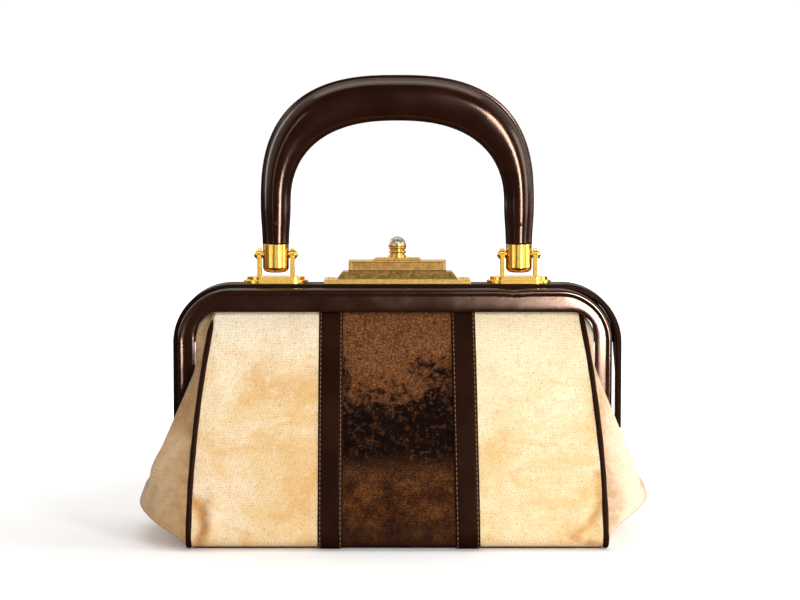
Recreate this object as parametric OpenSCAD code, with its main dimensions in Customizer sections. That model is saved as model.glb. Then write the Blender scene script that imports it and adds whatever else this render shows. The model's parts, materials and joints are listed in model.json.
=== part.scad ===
// Hinged-frame handbag. A velvet body hangs from two leather covered steel jaws: the front jaw is a flat
// faced arch that swings open, and the rear jaw is a deep hoop that carries the brass clasp and the handle.
// X runs along the bag, the front faces -Y, Z is up and the bag stands on Z = 0. Lengths are millimetres.

/* [Body] */
// Distance from the hoop's outside in to the piping at the base
base_inset = 12.5; // [6:0.5:20]
// Depth of the base from front to back
base_d = 118; // [100:1:136]
// Distance from the hoop's outside in to the piping at the mouth
mouth_inset = 24.5; // [22:0.5:31]
// Radius of the turn from the base into a panel
base_r = 8; // [5:0.5:12]
// Lean of a panel at its foot, in degrees from upright
panel_lean = 14; // [10:1:17]
// How far a gusset's belly stands out past the hoop
belly_out = 16; // [5:1:28]
// Height of the gussets' widest point
belly_h = 24; // [16:1:32]
// Thickness of the velvet with its backing
velvet_t = 2; // [1.5:0.1:2.6]
// Thickness of the lining
lining_t = 0.8; // [0.5:0.1:1.4]
// Thickness of the board that stiffens the base
board_t = 2; // [1.5:0.5:4]
// Diameter of the piping
piping_d = 3.4; // [2.4:0.1:4.2]
// Width of a leather strap
strap_w = 13.5; // [8:0.5:20]
// Thickness of a leather strap
strap_t = 1.2; // [0.8:0.1:2]
// Distance between the middles of the two straps
strap_pitch = 75; // [50:1:120]

/* [Frame] */
// Outer width of the rear hoop
hoop_w = 252; // [236:1:276]
// Height of the hoop's top above the ground
hoop_h = 141; // [130:1:155]
// Depth of the hoop from front to back
hoop_d = 22; // [20:1:28]
// Thickness of the hoop with its leather
hoop_t = 3.4; // [2.8:0.1:4.6]
// Outer radius of the hoop's corners
hoop_r = 33; // [26:1:40]
// Distance from the hoop's outside in to the jaw's
jaw_inset = 5.2; // [5:0.1:8]
// Depth of the front jaw's rim
jaw_d = 14; // [11:0.5:17]
// Width of the jaw's face along the top
jaw_face = 13; // [10:0.5:16]
// Width of the jaw's face on the legs
jaw_leg = 9.6; // [8:0.2:10.6]
// Thickness of the jaw's face and rim with their leather
jaw_t = 3; // [2.8:0.1:3.6]
// Drop of the jaw's top below the hoop's
jaw_drop = 1.6; // [1:0.1:3]
// Outer radius of the jaw's corners
jaw_r = 30; // [24:1:36]
// Inner radius of the jaw's corners
jaw_inner_r = 13; // [8:1:18]
// How far the jaw sits to one side of the middle
jaw_offset = -1.4; // [-1.4:0.1:1.4]
// Gap between the closed jaw and the hoop
jaw_gap = 1; // [0.6:0.1:2]
// Thickness of the steel inside the leather
steel_t = 1.2; // [1:0.1:1.6]
// Height of the hinge pins
hinge_h = 52; // [46:1:60]
// Radius of the hinge lugs
lug_r = 6.5; // [5.5:0.5:8]
// Diameter of the hinge pins
hinge_pin_d = 4.4; // [3:0.2:5.4]

/* [Handle] */
// Overall height of the handle above the ground
handle_h = 258; // [236:1:280]
// Distance between the two anchors
anchor_pitch = 137; // [120:1:150]
// Width of the handle at its ends
handle_end_w = 15; // [13:0.5:15.4]
// Width of the handle where its legs turn into the arch
handle_leg_w = 17; // [15:0.5:20]
// Width of the handle at the top of its arch
handle_top_w = 25.7; // [20:0.1:30]
// Depth of the handle at its ends
handle_end_d = 15; // [13:0.5:17]
// Depth of the handle at the top of its arch
handle_top_d = 20; // [16:0.5:24]
// Length of the handle's straight legs
handle_leg_l = 22; // [14:1:30]
// Diameter of the steel core
handle_core_d = 8; // [6:0.5:9]
// Height of the seam welt along the handle's outer edge
welt_h = 1.8; // [1:0.1:2.6]
// Width of the seam welt
welt_w = 3.4; // [2:0.2:4.4]
// Diameter of the tack on the front of each leg
tack_d = 2.6; // [1.6:0.2:4]
// Height of a tack's dome
tack_h = 0.9; // [0.5:0.1:1.2]
// Height of a tack above its ferrule
tack_up = 11.5; // [6:0.5:18]
// Diameter of a ferrule
ferrule_d = 14.6; // [13:0.2:15.4]
// Height of a ferrule
ferrule_h = 16; // [14:0.5:20]
// Radius round the foot of a ferrule
ferrule_r = 3; // [2:0.2:4]
// Gap between the cheeks of a yoke
yoke_gap = 16.2; // [16:0.1:18]
// Thickness of a yoke's cheeks
yoke_t = 2.4; // [1.6:0.1:3]
// Width of a yoke's cheeks
yoke_w = 7.2; // [6.4:0.2:9]
// Length of an anchor plate
plate_l = 36; // [33:0.5:42]
// Width of an anchor plate
plate_w = 18; // [16:0.5:20]
// Thickness of each of an anchor plate's two steps
plate_step = 1.9; // [1.5:0.1:2.6]
// Width of the lower step that shows round the upper one
plate_ledge = 1.8; // [1:0.1:2.4]
// Height of the handle's pivot above the anchor plate
pivot_h = 12.2; // [11.8:0.1:15]
// Diameter of the handle's pivot pins
pivot_d = 4.4; // [3.4:0.2:5]

/* [Clasp] */
// Length of the clasp's flange
flange_l = 82.3; // [78:0.5:92]
// Depth of the clasp's flange
flange_d = 20; // [18:0.5:21]
// Thickness of the flange
flange_t = 2.6; // [1.8:0.1:3.4]
// Length of the bevelled housing at its foot
housing_l = 68; // [66:0.5:70]
// Height of the bevelled housing
housing_h = 4.4; // [3.4:0.1:6]
// Bevel of the housing on each side
housing_bevel = 3.3; // [2:0.1:3.6]
// Length of the cap
cap_l = 55; // [48:0.5:58]
// Depth of the cap
cap_d = 12; // [11:0.2:12.4]
// Height of the cap
cap_h = 6; // [5.4:0.1:8]
// Wall of the housing and the cap
shell_t = 1.4; // [1:0.1:1.8]
// Length of the sliding plate under the knob
slider_l = 27.5; // [24:0.5:34]
// Depth of the sliding plate
slider_d = 9; // [8:0.2:10]
// Thickness of the sliding plate
slider_t = 1.4; // [1:0.1:2]
// Travel of the sliding plate
slide_travel = 5; // [3:0.5:6]
// Diameter of the knob
knob_d = 10.1; // [8:0.1:11]
// Height of the knob
knob_h = 11.9; // [10:0.1:14]
// Thickness of the latch bolt and of the tongue on the jaw
latch_t = 1.6; // [1.2:0.1:2]

/* [Hidden] */
$fn = 64;

// Clearances: between soft pieces, across a sewn seam, between fixed pieces, of a running pin, and of cuts
soft_gap = 0.3;
seam_gap = 0.2;
fit_gap = 0.1;
run_gap = 0.05;
overrun = 1;

// Widths of the body and the jaw, all set from the hoop's
base_w = hoop_w - 2 * base_inset;
mouth_w = hoop_w - 2 * mouth_inset;
gusset_w = hoop_w + 2 * belly_out;
jaw_w = hoop_w - 2 * jaw_inset;

// Layers of the base, from the ground up
velvet_z = strap_t;
board_z = velvet_z + velvet_t + soft_gap;
floor_z = board_z + board_t + soft_gap;

// Places of the frame: the jaw in front of the hoop, with the hinge pins between them
frame_d = jaw_d + jaw_gap + hoop_d;
jaw_front = -frame_d / 2;
jaw_back = jaw_front + jaw_d;
hoop_front = jaw_back + jaw_gap;
hoop_back = frame_d / 2;
hinge_y = (jaw_back + hoop_front) / 2;
deck_y = (hoop_front + hoop_back) / 2;
jaw_top = hoop_h - jaw_drop;
jaw_low = jaw_top - jaw_face;
lug_clear = 1.5;
cover_low = hinge_h + lug_r + lug_clear;
jaw_inner_w = jaw_w - 2 * jaw_leg;
jaw_skin = (jaw_t - steel_t) / 2;
hoop_skin = (hoop_t - steel_t) / 2;
hoop_under = hoop_h - hoop_t;
// The hoop's legs narrow below its corners, between these two heights
hoop_neck_share = 0.65;
hoop_leg_h = hoop_h - hoop_r - lug_clear;
hoop_neck_h = cover_low + (hoop_leg_h - cover_low) * hoop_neck_share;
hoop_foot_back = hinge_y + lug_r + lug_clear;

// Hinge hardware
hinge_head_share = 0.85;
hinge_dome_share = 0.36;
hinge_head_r = hinge_pin_d * hinge_head_share;
hinge_head_h = hinge_pin_d * hinge_dome_share;

// Profile of the body: a flat base, a round turn at its foot and a crowned panel up to the frame
tuck = 3.1;
panel_top = jaw_low + tuck;
tuck_share = 0.55;
mouth_gap = 1.5;
mouth_half = frame_d / 2 - jaw_t - mouth_gap - strap_t - (tuck + soft_gap) * tuck_share;
corner_y = base_d / 2 - base_r;
corner_z = velvet_z + base_r;
foot_turn = 90 + panel_lean;
foot = [corner_y, corner_z] + base_r * turned(foot_turn);
panel_rise = [mouth_half, panel_top] - foot;
panel_r = (panel_rise * panel_rise) / (2 * (panel_rise * -turned(foot_turn)));
panel_centre = foot - panel_r * turned(foot_turn);
panel_turn = 2 * asin(norm(panel_rise) / (2 * panel_r));
corner_steps = 6;
panel_steps = 9;
edge_steps = 12;

// Gussets: how full the belly is, where the folds round the frame's legs begin, and the mesh
belly_rise_share = 0.85;
belly_top_share = 0.82;
belly_top = panel_top * belly_top_share;
dome_share = 0.34;
fold_peak_share = 0.8;
fold_low = hinge_h - 3 * lug_r;
fold_high = hinge_h - lug_r / 4;
fold_half = frame_d / 2 + lug_clear;
fold_room = 5;
corner_share = 0.8;
valley_share = 3 / 7;
row_share = 1.3;
gusset_z = velvet_z + seam_gap;
gusset_rows = 17;
gusset_cols = 29;
piping_sides = 8;

// Handle: two curves bound its arch, and the leather wraps a steel core
anchor_x = anchor_pitch / 2;
plate_top = hoop_h + 2 * plate_step;
pivot_z = plate_top + pivot_h;
ferrule_clear = 2.2;
ferrule_z = plate_top + ferrule_clear;
ferrule_top = ferrule_z + ferrule_h;
spring_z = ferrule_top + handle_leg_l;
outer_square_share = 2 / 2.65;
inner_square_share = 2 / 2.4;
core_gap = 0.4;
core_z = pivot_z + pivot_d / 2 + core_gap;
leg_steps = 2;
arch_steps = 28;
// Turns of the points round the handle, from the welt over the front and back to the welt
grip_turns = [for (i = [1:11]) 30 * i];
welt_turns = [8, 20];
welt_top_share = 0.8;
pivot_head_share = 0.6;
pivot_dome_share = 0.42;
pivot_head_r = pivot_d * pivot_head_share;
pivot_head_h = pivot_d * pivot_dome_share;
yoke_base_t = 1.2;
rivet_d = 3;
rivet_head_d = 5.2;
rivet_head_h = 1;
rivet_pitch_share = 0.6;
rivet_pitch = yoke_gap * rivet_pitch_share;

// Clasp: its tiers stand on the hoop, and the bolt hangs from the slider through slots to the tongue
flange_top = hoop_h + flange_t;
housing_top = flange_top + housing_h;
cap_top = housing_top + cap_h;
cap_under = cap_top - shell_t;
slider_z = cap_top + fit_gap;
knob_z = slider_z + slider_t;
cap_border = 2;
cap_recess = 0.5;
slider_bevel = 1.5;
stem_d = 3.8;
bolt_l = 14;
bolt_w = 8;
bolt_top = cap_under - fit_gap;
bolt_z = bolt_top - latch_t;
nose_l = 4;
nose_w = 2.6;
nose_y = deck_y - bolt_w / 2;
nose_out = 0.4;
slot_gap = 0.5;
clasp_rivet_x = (flange_l + housing_l) / 4;
spring_r = 1.6;
spring_wire = 0.6;
spring_turns = 7;
spring_steps = 9;
spring_sides = 6;
tongue_l = 16;
tongue_step = 1.2;
tongue_tip = nose_y + nose_w + slot_gap + 2 * latch_t;
tongue_foot = jaw_back - hinge_pin_d / 2;
rim_under = jaw_top - jaw_t;

leather = "#2b1a12";
cream = "#d9c3a0";
brown = "#4a2a18";
brass = "#b98a35";
steel = "#8d8f92";

// Small helpers
function turned(a) = [sin(a), -cos(a)];
function backwards(list) = [for (i = [len(list) - 1:-1:0]) list[i]];
function clamped(t) = max(0, min(1, t));
function eased(t) = let (c = clamped(t)) c * c * (3 - 2 * c);
function mixed(a, b, t) = a + (b - a) * t;
function unit(v) = v / norm(v);
function signed_power(v, p) = sign(v) * pow(abs(v), p);

// Half of the body's outline in Y and Z, a distance in from the outside of the velvet
function half_profile(inset) = concat(
    [for (i = [0:corner_steps])
        [corner_y, corner_z] + (base_r - inset) * turned(foot_turn * i / corner_steps)],
    [for (i = [1:panel_steps])
        panel_centre + (panel_r - inset) * turned(foot_turn + panel_turn * i / panel_steps)]);
function full_profile(inset) =
    let (half = half_profile(inset)) concat([for (p = backwards(half)) [-p.x, p.y]], half);

// Half depth of the body, and half width between its lines of piping, at a height
function half_depth(z) = z < foot.y
    ? corner_y + sqrt(max(0, pow(base_r, 2) - pow(z - corner_z, 2)))
    : panel_centre.x + sqrt(pow(panel_r, 2) - pow(z - panel_centre.y, 2));
function edge_x(z) = (base_w - (base_w - mouth_w) * pow(z / panel_top, 2)) / 2;
function panel_edge(z) = edge_x(z) - piping_d / 2 - seam_gap;
function sewn_x(z) = edge_x(z) + piping_d / 2 + seam_gap + velvet_t;

// Triangles of a grid of points, closed round its columns if wrapped
function grid_faces(rows, cols, start, wrapped, flipped) = [
    for (i = [0:rows - 2], j = [0:cols - (wrapped ? 1 : 2)])
        let (a = start + i * cols + j, b = start + i * cols + (j + 1) % cols)
            each flipped ? [[a, b, b + cols], [a, b + cols, a + cols]]
                         : [[a, b + cols, b], [a, a + cols, b + cols]]];

// An outline in X and Z that fills the depth from y0 to y1, and one in Y and Z that fills x0 to x1
module upright(y0, y1) { translate([0, y1, 0]) rotate([90, 0, 0]) linear_extrude(y1 - y0) children(); }
module across(x0, x1) { translate([x0, 0, 0]) rotate([90, 0, 90]) linear_extrude(x1 - x0) children(); }
module along_x(x, y, z) { translate([x, y, z]) rotate([0, 90, 0]) children(); }

// A rod through rings of points, with its ends closed from their middles
module rod(rings) {
    n = len(rings);
    m = len(rings[0]);
    ends = [for (r = [rings[0], rings[n - 1]]) [for (k = [0:2]) [for (p = r) p[k]] * [for (p = r) 1 / m]]];
    polyhedron(concat([for (r = rings) each r], ends), concat(
        grid_faces(n, m, 0, true, false),
        [for (j = [0:m - 1]) [n * m, j, (j + 1) % m]],
        [for (j = [0:m - 1]) [n * m + 1, (n - 1) * m + (j + 1) % m, (n - 1) * m + j]]));
}

// A tube between outer and inner rings of points
module tube(outer, inner) {
    n = len(outer);
    m = len(outer[0]);
    last = (n - 1) * m;
    polyhedron(concat([for (r = outer) each r], [for (r = inner) each r]), concat(
        grid_faces(n, m, 0, true, false),
        grid_faces(n, m, n * m, true, true),
        [for (j = [0:m - 1]) let (k = (j + 1) % m) each [[j, k, n * m + k], [j, n * m + k, n * m + j]]],
        [for (j = [0:m - 1]) let (k = (j + 1) % m)
            each [[last + j, n * m + last + k, last + k], [last + j, n * m + last + j, n * m + last + k]]]));
}

// A sheet between an outer and an inner grid of points
module sheet(outer, inner) {
    n = len(outer);
    m = len(outer[0]);
    s = n * m;
    polyhedron(concat([for (r = outer) each r], [for (r = inner) each r]), concat(
        grid_faces(n, m, 0, false, false),
        grid_faces(n, m, s, false, true),
        [for (j = [0:m - 2]) each [[j, j + 1, s + j + 1], [j, s + j + 1, s + j]]],
        [for (j = [0:m - 2]) let (a = (n - 1) * m + j) each [[a, s + a + 1, a + 1], [a, s + a, s + a + 1]]],
        [for (i = [0:n - 2]) let (a = i * m) each [[a, s + a + m, a + m], [a, s + a, s + a + m]]],
        [for (i = [0:n - 2]) let (a = i * m + m - 1) each [[a, a + m, s + a + m], [a, s + a + m, s + a]]]));
}

// A low dome on a round foot of radius r, and a plate with round ends
module dome(r, h) {
    ball_r = (r * r + h * h) / (2 * h);
    rotate_extrude() intersection() {
        translate([0, h - ball_r]) circle(ball_r);
        square([r, h]);
    }
}
module round_ended(l, w) {
    square([l - w, w], center = true);
    for (s = [-1, 1]) translate([s * (l - w) / 2, 0]) circle(d = w);
}

// An arch standing on the height low, with round upper corners
module arch(w, top, low, r) {
    intersection() {
        translate([-w / 2, low]) square([w, top - low]);
        union() {
            translate([-w / 2, low]) square([w, top - low - r]);
            translate([r - w / 2, low]) square([w - 2 * r, top - low]);
            for (s = [-1, 1]) translate([s * (w / 2 - r), top - r]) circle(r);
        }
    }
}
module band(w, top, low, r, t) {
    difference() {
        arch(w, top, low, r);
        arch(w - 2 * t, top - t, low - overrun, r - t);
    }
}

// The body's wall between two depths from the velvet's outside
module wall(outer, inner) { polygon(concat(full_profile(outer), backwards(full_profile(inner)))); }

// One length of velvet runs from the front jaw under the base and up to the rear hoop
module side_panel(side) {
    seam = (strap_pitch + seam_gap) / 2;
    heights = [for (i = [0:edge_steps]) panel_top * i / edge_steps];
    mirror([side < 0 ? 1 : 0, 0, 0]) intersection() {
        across(seam, base_w / 2) wall(0, velvet_t);
        upright(-base_d, base_d) polygon(concat(
            [[seam, panel_top + overrun], [seam, 0]],
            [for (z = heights) [panel_edge(z), z]],
            [[panel_edge(panel_top), panel_top + overrun]]));
    }
}
module left_panel() { color(cream) side_panel(-1); }
module right_panel() { color(cream) side_panel(1); }
module centre_panel() {
    seam = (strap_pitch - seam_gap) / 2;
    color(brown) across(-seam, seam) wall(0, velvet_t);
}

// The straps cover the seams between the panels and end under the base, against the edge of the sole
module strap(side, end) {
    x = side * strap_pitch / 2 - strap_w / 2;
    y = end > 0 ? corner_y : -base_d;
    color(leather) intersection() {
        across(x, x + strap_w) wall(-strap_t, 0);
        translate([x, y, 0]) cube([strap_w, base_d - corner_y, panel_top + overrun]);
    }
}
module front_left_strap() { strap(-1, -1); }
module front_right_strap() { strap(1, -1); }
module rear_left_strap() { strap(-1, 1); }
module rear_right_strap() { strap(1, 1); }

// A leather sole under the base gives the bag a flat face to stand on
module base_sole() {
    x = panel_edge(0) - seam_gap;
    y = corner_y - seam_gap;
    color(leather) translate([-x, -y, 0]) cube([2 * x, 2 * y, strap_t]);
}

// The gusset swells to a belly low down, and folds in front of and behind the frame's legs higher up
function belly(z) =
    let (low = (z - gusset_z) / (belly_h - gusset_z), high = (z - belly_h) / (belly_top - belly_h))
        (gusset_w / 2 - sewn_x(belly_h)) * (z < belly_h
            ? pow(1 - pow(1 - clamped(low), 2), belly_rise_share)
            : 1 - eased(high));
// Between the folds the gusset stays inside the jaw's inner outline, corners included
function valley_x(z) =
    let (up = clamped((z - jaw_low + jaw_inner_r) / jaw_inner_r / corner_share) * corner_share)
        (jaw_inner_w / 2 - jaw_inner_r * (1 - sqrt(1 - up * up)) - abs(jaw_offset) - 2 * soft_gap);
function valley_half(z) = min(fold_half, half_depth(z) - fold_room);
function dome_x(y, z) = sewn_x(z) + belly(z) * pow(max(0, 1 - pow(y / half_depth(z), 2)), dome_share);
function fold_x(y, z) =
    let (in = valley_half(z), t = clamped((abs(y) - in) / (half_depth(z) - in)))
        mixed(valley_x(z), sewn_x(z), eased(t)) + belly(z) * sin(180 * pow(t, fold_peak_share));
function gusset_x(y, z) = mixed(dome_x(y, z), fold_x(y, z), eased((z - fold_low) / (fold_high - fold_low)));
// Columns run from the front seam to the fold, over the valley between the folds and on to the rear seam
function gusset_y(v, z) = let (in = valley_half(z), s = abs(v))
    sign(v) * (s < valley_share ? in * s / valley_share
        : mixed(in, half_depth(z), (s - valley_share) / (1 - valley_share)));
function gusset_grid(inset) = [
    for (i = [0:gusset_rows - 1])
        let (z = mixed(gusset_z, panel_top, pow(i / (gusset_rows - 1), row_share)))
            [for (j = [0:gusset_cols - 1])
                let (y = gusset_y(2 * j / (gusset_cols - 1) - 1, z)) [gusset_x(y, z) - inset, y, z]]];
module gusset() { color(cream) sheet(gusset_grid(0), gusset_grid(velvet_t)); }
module left_gusset() { mirror([1, 0, 0]) gusset(); }
module right_gusset() { gusset(); }

// Piping lies in the seam between the panels and a gusset
module piping() {
    path = [for (p = full_profile(velvet_t / 2)) [edge_x(p.y), p.x, p.y]];
    n = len(path);
    color(leather) rod([for (i = [0:n - 1])
        let (t = unit(path[min(i + 1, n - 1)] - path[max(i - 1, 0)]),
            u = unit(cross(t, [1, 0, 0])), v = cross(t, u))
            [for (j = [0:piping_sides - 1]) let (a = 360 * j / piping_sides)
                path[i] + piping_d / 2 * (u * cos(a) + v * sin(a))]]);
}
module left_piping() { mirror([1, 0, 0]) piping(); }
module right_piping() { piping(); }

// The lining is an open sack inside the panels, on the board
module lining_block(inset, z, x) {
    intersection() {
        across(-x, x) polygon(full_profile(inset));
        translate([-x, -base_d / 2, z]) cube([2 * x, base_d, panel_top]);
    }
}
module lining() {
    outside = velvet_t + soft_gap;
    half = panel_edge(panel_top);
    color("#7a5a44") difference() {
        lining_block(outside, floor_z, half);
        lining_block(outside + lining_t, floor_z + lining_t, half - lining_t);
        translate([lining_t - half, lining_t - mouth_half + outside, panel_top - overrun])
            cube([2 * (half - lining_t), 2 * (mouth_half - outside - lining_t), 2 * overrun]);
    }
}
module base_board() {
    w = 2 * (panel_edge(0) - soft_gap);
    color("#b9a27c") translate([-w / 2, -corner_y, board_z]) cube([w, 2 * corner_y, board_t]);
}

// Side view of the jaw's rim and of the hoop's legs, drawn in by a skin of leather
module jaw_side(low, skin) {
    polygon([[jaw_front + skin, low], [jaw_front + skin, jaw_top], [jaw_back - skin, jaw_top],
        [jaw_back - skin, low]]);
}
module hoop_side(low, skin) {
    polygon([[hoop_front + skin, low], [hoop_front + skin, hoop_h], [hoop_back - skin, hoop_h],
        [hoop_back - skin, hoop_leg_h], [hoop_foot_back - skin, hoop_neck_h], [hoop_foot_back - skin, low]]);
}
module hinge_bore(x, l, d) { along_x(x, hinge_y, hinge_h) cylinder(d = d, h = l); }

// Steel of the front jaw: a flat face, a rim behind its outer edge, and a lug at the end of each leg
module jaw_steel(grow) {
    skin = jaw_skin - grow;
    face_t = steel_t + 2 * grow;
    low = cover_low - (grow > 0 ? overrun : 0);
    translate([jaw_offset, 0, 0]) {
        upright(jaw_front + skin, jaw_front + skin + face_t) difference() {
            arch(jaw_w - 2 * skin, jaw_top - skin, low, jaw_r - skin);
            arch(jaw_inner_w + 2 * skin, jaw_low + skin, low - overrun, jaw_inner_r + skin);
        }
        intersection() {
            upright(jaw_front + skin, jaw_back - skin)
                band(jaw_w - 2 * skin, jaw_top - skin, low, jaw_r - skin, face_t);
            across(-jaw_w, jaw_w) jaw_side(low - overrun, skin);
        }
    }
}
module jaw_lug(side) {
    outer = side * (jaw_w / 2 - jaw_skin) + jaw_offset;
    x = side > 0 ? outer - steel_t : outer;
    difference() {
        union() {
            along_x(x, hinge_y, hinge_h) cylinder(r = lug_r, h = steel_t);
            across(x, x + steel_t) polygon([[hinge_y - lug_r, hinge_h], [jaw_front + jaw_skin, cover_low],
                [jaw_back - jaw_skin, cover_low], [jaw_back - jaw_skin, hinge_h]]);
        }
        hinge_bore(x - overrun, steel_t + 2 * overrun, hinge_pin_d + 2 * run_gap);
    }
}
module front_frame_core() {
    color(steel) {
        jaw_steel(0);
        for (side = [-1, 1]) jaw_lug(side);
    }
}
module front_frame_cover() {
    color(leather) difference() {
        translate([jaw_offset, 0, 0]) {
            upright(jaw_front, jaw_front + jaw_t) difference() {
                arch(jaw_w, jaw_top, cover_low, jaw_r);
                arch(jaw_inner_w, jaw_low, cover_low - overrun, jaw_inner_r);
            }
            upright(jaw_front, jaw_back) band(jaw_w, jaw_top, cover_low, jaw_r, jaw_t);
        }
        jaw_steel(fit_gap);
    }
}

// Holes down through the hoop for the rivets, and the slot that the latch bolt moves in
module rivet_holes(low, high) {
    d = rivet_d + 2 * fit_gap;
    for (x = rivet_places()) translate([x, deck_y, low]) cylinder(d = d, h = high - low);
    for (s = [-1, 1]) translate([s * clasp_rivet_x, deck_y, low]) cylinder(d = d, h = high - low);
}
function rivet_places() = [for (s = [-1, 1], t = [-1, 1]) s * anchor_x + t * rivet_pitch / 2];
module bolt_slot(low, high) {
    translate([-nose_l / 2 - slot_gap, nose_y - slot_gap, low])
        cube([nose_l + slide_travel + 2 * slot_gap, nose_w + 2 * slot_gap, high - low]);
}

// Steel of the rear hoop, with a lug at the end of each leg
module hoop_steel(grow) {
    skin = hoop_skin - grow;
    low = cover_low - (grow > 0 ? overrun : 0);
    intersection() {
        upright(hoop_front, hoop_back)
            band(hoop_w - 2 * skin, hoop_h - skin, low, hoop_r - skin, steel_t + 2 * grow);
        across(-hoop_w, hoop_w) hoop_side(low, skin);
    }
}
module hoop_lug(side) {
    outer = side * (hoop_w / 2 - hoop_skin);
    x = side > 0 ? outer - steel_t : outer;
    difference() {
        union() {
            along_x(x, hinge_y, hinge_h) cylinder(r = lug_r, h = steel_t);
            across(x, x + steel_t) polygon([
                [hinge_y + lug_r, hinge_h], [hoop_foot_back - hoop_skin, cover_low],
                [hoop_front + hoop_skin, cover_low], [hoop_front + hoop_skin, hinge_h]]);
        }
        hinge_bore(x - overrun, steel_t + 2 * overrun, hinge_pin_d + 2 * run_gap);
    }
}
module rear_frame_core() {
    color(steel) difference() {
        union() {
            hoop_steel(0);
            for (side = [-1, 1]) hoop_lug(side);
        }
        rivet_holes(hoop_under, hoop_h);
        bolt_slot(hoop_under, hoop_h);
    }
}
module rear_frame_cover() {
    color(leather) difference() {
        intersection() {
            upright(hoop_front, hoop_back) band(hoop_w, hoop_h, cover_low, hoop_r, hoop_t);
            across(-hoop_w, hoop_w) hoop_side(cover_low, 0);
        }
        hoop_steel(fit_gap);
        rivet_holes(hoop_under - overrun, hoop_h + overrun);
        bolt_slot(hoop_under - overrun, hoop_h + overrun);
    }
}

// At the back a leather strip faces the top of the rear panel, as the jaw does in front
module rear_facing() {
    color(leather) upright(hoop_back - jaw_t, hoop_back) difference() {
        arch(hoop_w - 2 * (hoop_t + fit_gap), hoop_under - fit_gap, hoop_leg_h, hoop_r - hoop_t - fit_gap);
        arch(jaw_inner_w, jaw_low, hoop_leg_h - overrun, jaw_inner_r);
    }
}

// Hinge rivets run through both lugs, with a washer in the space between them
function jaw_lug_x(side) = jaw_offset + side * (jaw_w / 2 - jaw_skin);
function hoop_lug_x(side) = side * (hoop_w / 2 - hoop_skin - steel_t);
module hinge_pin(side) {
    inner = abs(jaw_lug_x(side)) - steel_t - fit_gap;
    outer = hoop_w / 2 - hoop_skin + fit_gap;
    color(brass) mirror([side < 0 ? 1 : 0, 0, 0]) {
        hinge_bore(inner, outer - inner, hinge_pin_d);
        along_x(inner - hinge_head_h, hinge_y, hinge_h) cylinder(r = hinge_head_r, h = hinge_head_h);
        along_x(outer, hinge_y, hinge_h) dome(hinge_head_r, hinge_head_h);
    }
}
module left_hinge_pin() { hinge_pin(-1); }
module right_hinge_pin() { hinge_pin(1); }
module hinge_washer(side) {
    inner = abs(jaw_lug_x(side)) + fit_gap;
    outer = abs(hoop_lug_x(side)) - fit_gap;
    color(brass) mirror([side < 0 ? 1 : 0, 0, 0]) difference() {
        hinge_bore(inner, outer - inner, 2 * hinge_head_r);
        hinge_bore(inner - overrun, outer - inner + 2 * overrun, hinge_pin_d + 2 * fit_gap);
    }
}
module left_hinge_washer() { hinge_washer(-1); }
module right_hinge_washer() { hinge_washer(1); }

// The handle lies between an outer and an inner curve: straight legs, then a squared arch.
// Each station holds its outer and its inner point in X and Z.
outer_rise = handle_h - spring_z;
inner_rise = outer_rise - handle_top_w;
function arch_point(half, height, square_share, a) =
    [half * signed_power(cos(a), square_share), spring_z + height * signed_power(sin(a), square_share)];
function leg_station(side, t) =
    let (z = mixed(ferrule_top, spring_z, t), half = mixed(handle_end_w, handle_leg_w, eased(t)) / 2)
        [[side * (anchor_x + half), z], [side * (anchor_x - half), z]];
grip_stations = concat(
    [for (i = [0:leg_steps - 1]) leg_station(-1, i / leg_steps)],
    [for (i = [0:arch_steps]) let (a = 180 * (1 - i / arch_steps))
        [arch_point(anchor_x + handle_leg_w / 2, outer_rise, outer_square_share, a),
            arch_point(anchor_x - handle_leg_w / 2, inner_rise, inner_square_share, a)]],
    [for (i = [leg_steps - 1:-1:0]) leg_station(1, i / leg_steps)]);
function station_point(s, u, v) =
    let (middle = (s[0] + s[1]) / 2, n = unit(s[0] - s[1]), p = middle + n * u) [p.x, deck_y + v, p.y];
function grip_depth(w) =
    mixed(handle_end_d, handle_top_d, clamped((w - handle_end_w) / (handle_top_w - handle_end_w)));
function grip_ring(s) =
    let (w = norm(s[0] - s[1]), crown = w / 2 - welt_h, d = grip_depth(w))
        concat(
            [station_point(s, w / 2, welt_w / 2 * welt_top_share), station_point(s, crown, welt_w / 2)],
            [for (a = grip_turns) station_point(s, (cos(a) > 0 ? crown : w / 2) * cos(a), d / 2 * sin(a))],
            [station_point(s, crown, -welt_w / 2), station_point(s, w / 2, -welt_w / 2 * welt_top_share)]);
function core_ring(s, r) = [
    for (a = concat(welt_turns, grip_turns, [for (w = backwards(welt_turns)) 360 - w]))
        station_point(s, r * cos(a), r * sin(a))];
module handle_grip() {
    tunnel = handle_core_d / 2 + fit_gap;
    color(leather) tube(
        [for (s = grip_stations) grip_ring(s)],
        [for (s = grip_stations) core_ring(s, tunnel)]);
}
module handle_core() {
    r = handle_core_d / 2;
    function lowered(ring) = [for (p = ring) [p.x, p.y, core_z]];
    rings = [for (s = grip_stations) core_ring(s, r)];
    color(steel) rod(concat([lowered(rings[0])], rings, [lowered(rings[len(rings) - 1])]));
}

// A small tack holds the end of the wrap on the front of each leg
module handle_tacks() {
    legs = [for (side = [-1, 1]) leg_station(side, tack_up / handle_leg_l)];
    color(leather) for (s = legs)
        translate([(s[0].x + s[1].x) / 2, deck_y - grip_depth(norm(s[0] - s[1])) / 2 - fit_gap, s[0].y])
            rotate([90, 0, 0]) dome(tack_d / 2, tack_h);
}

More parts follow.
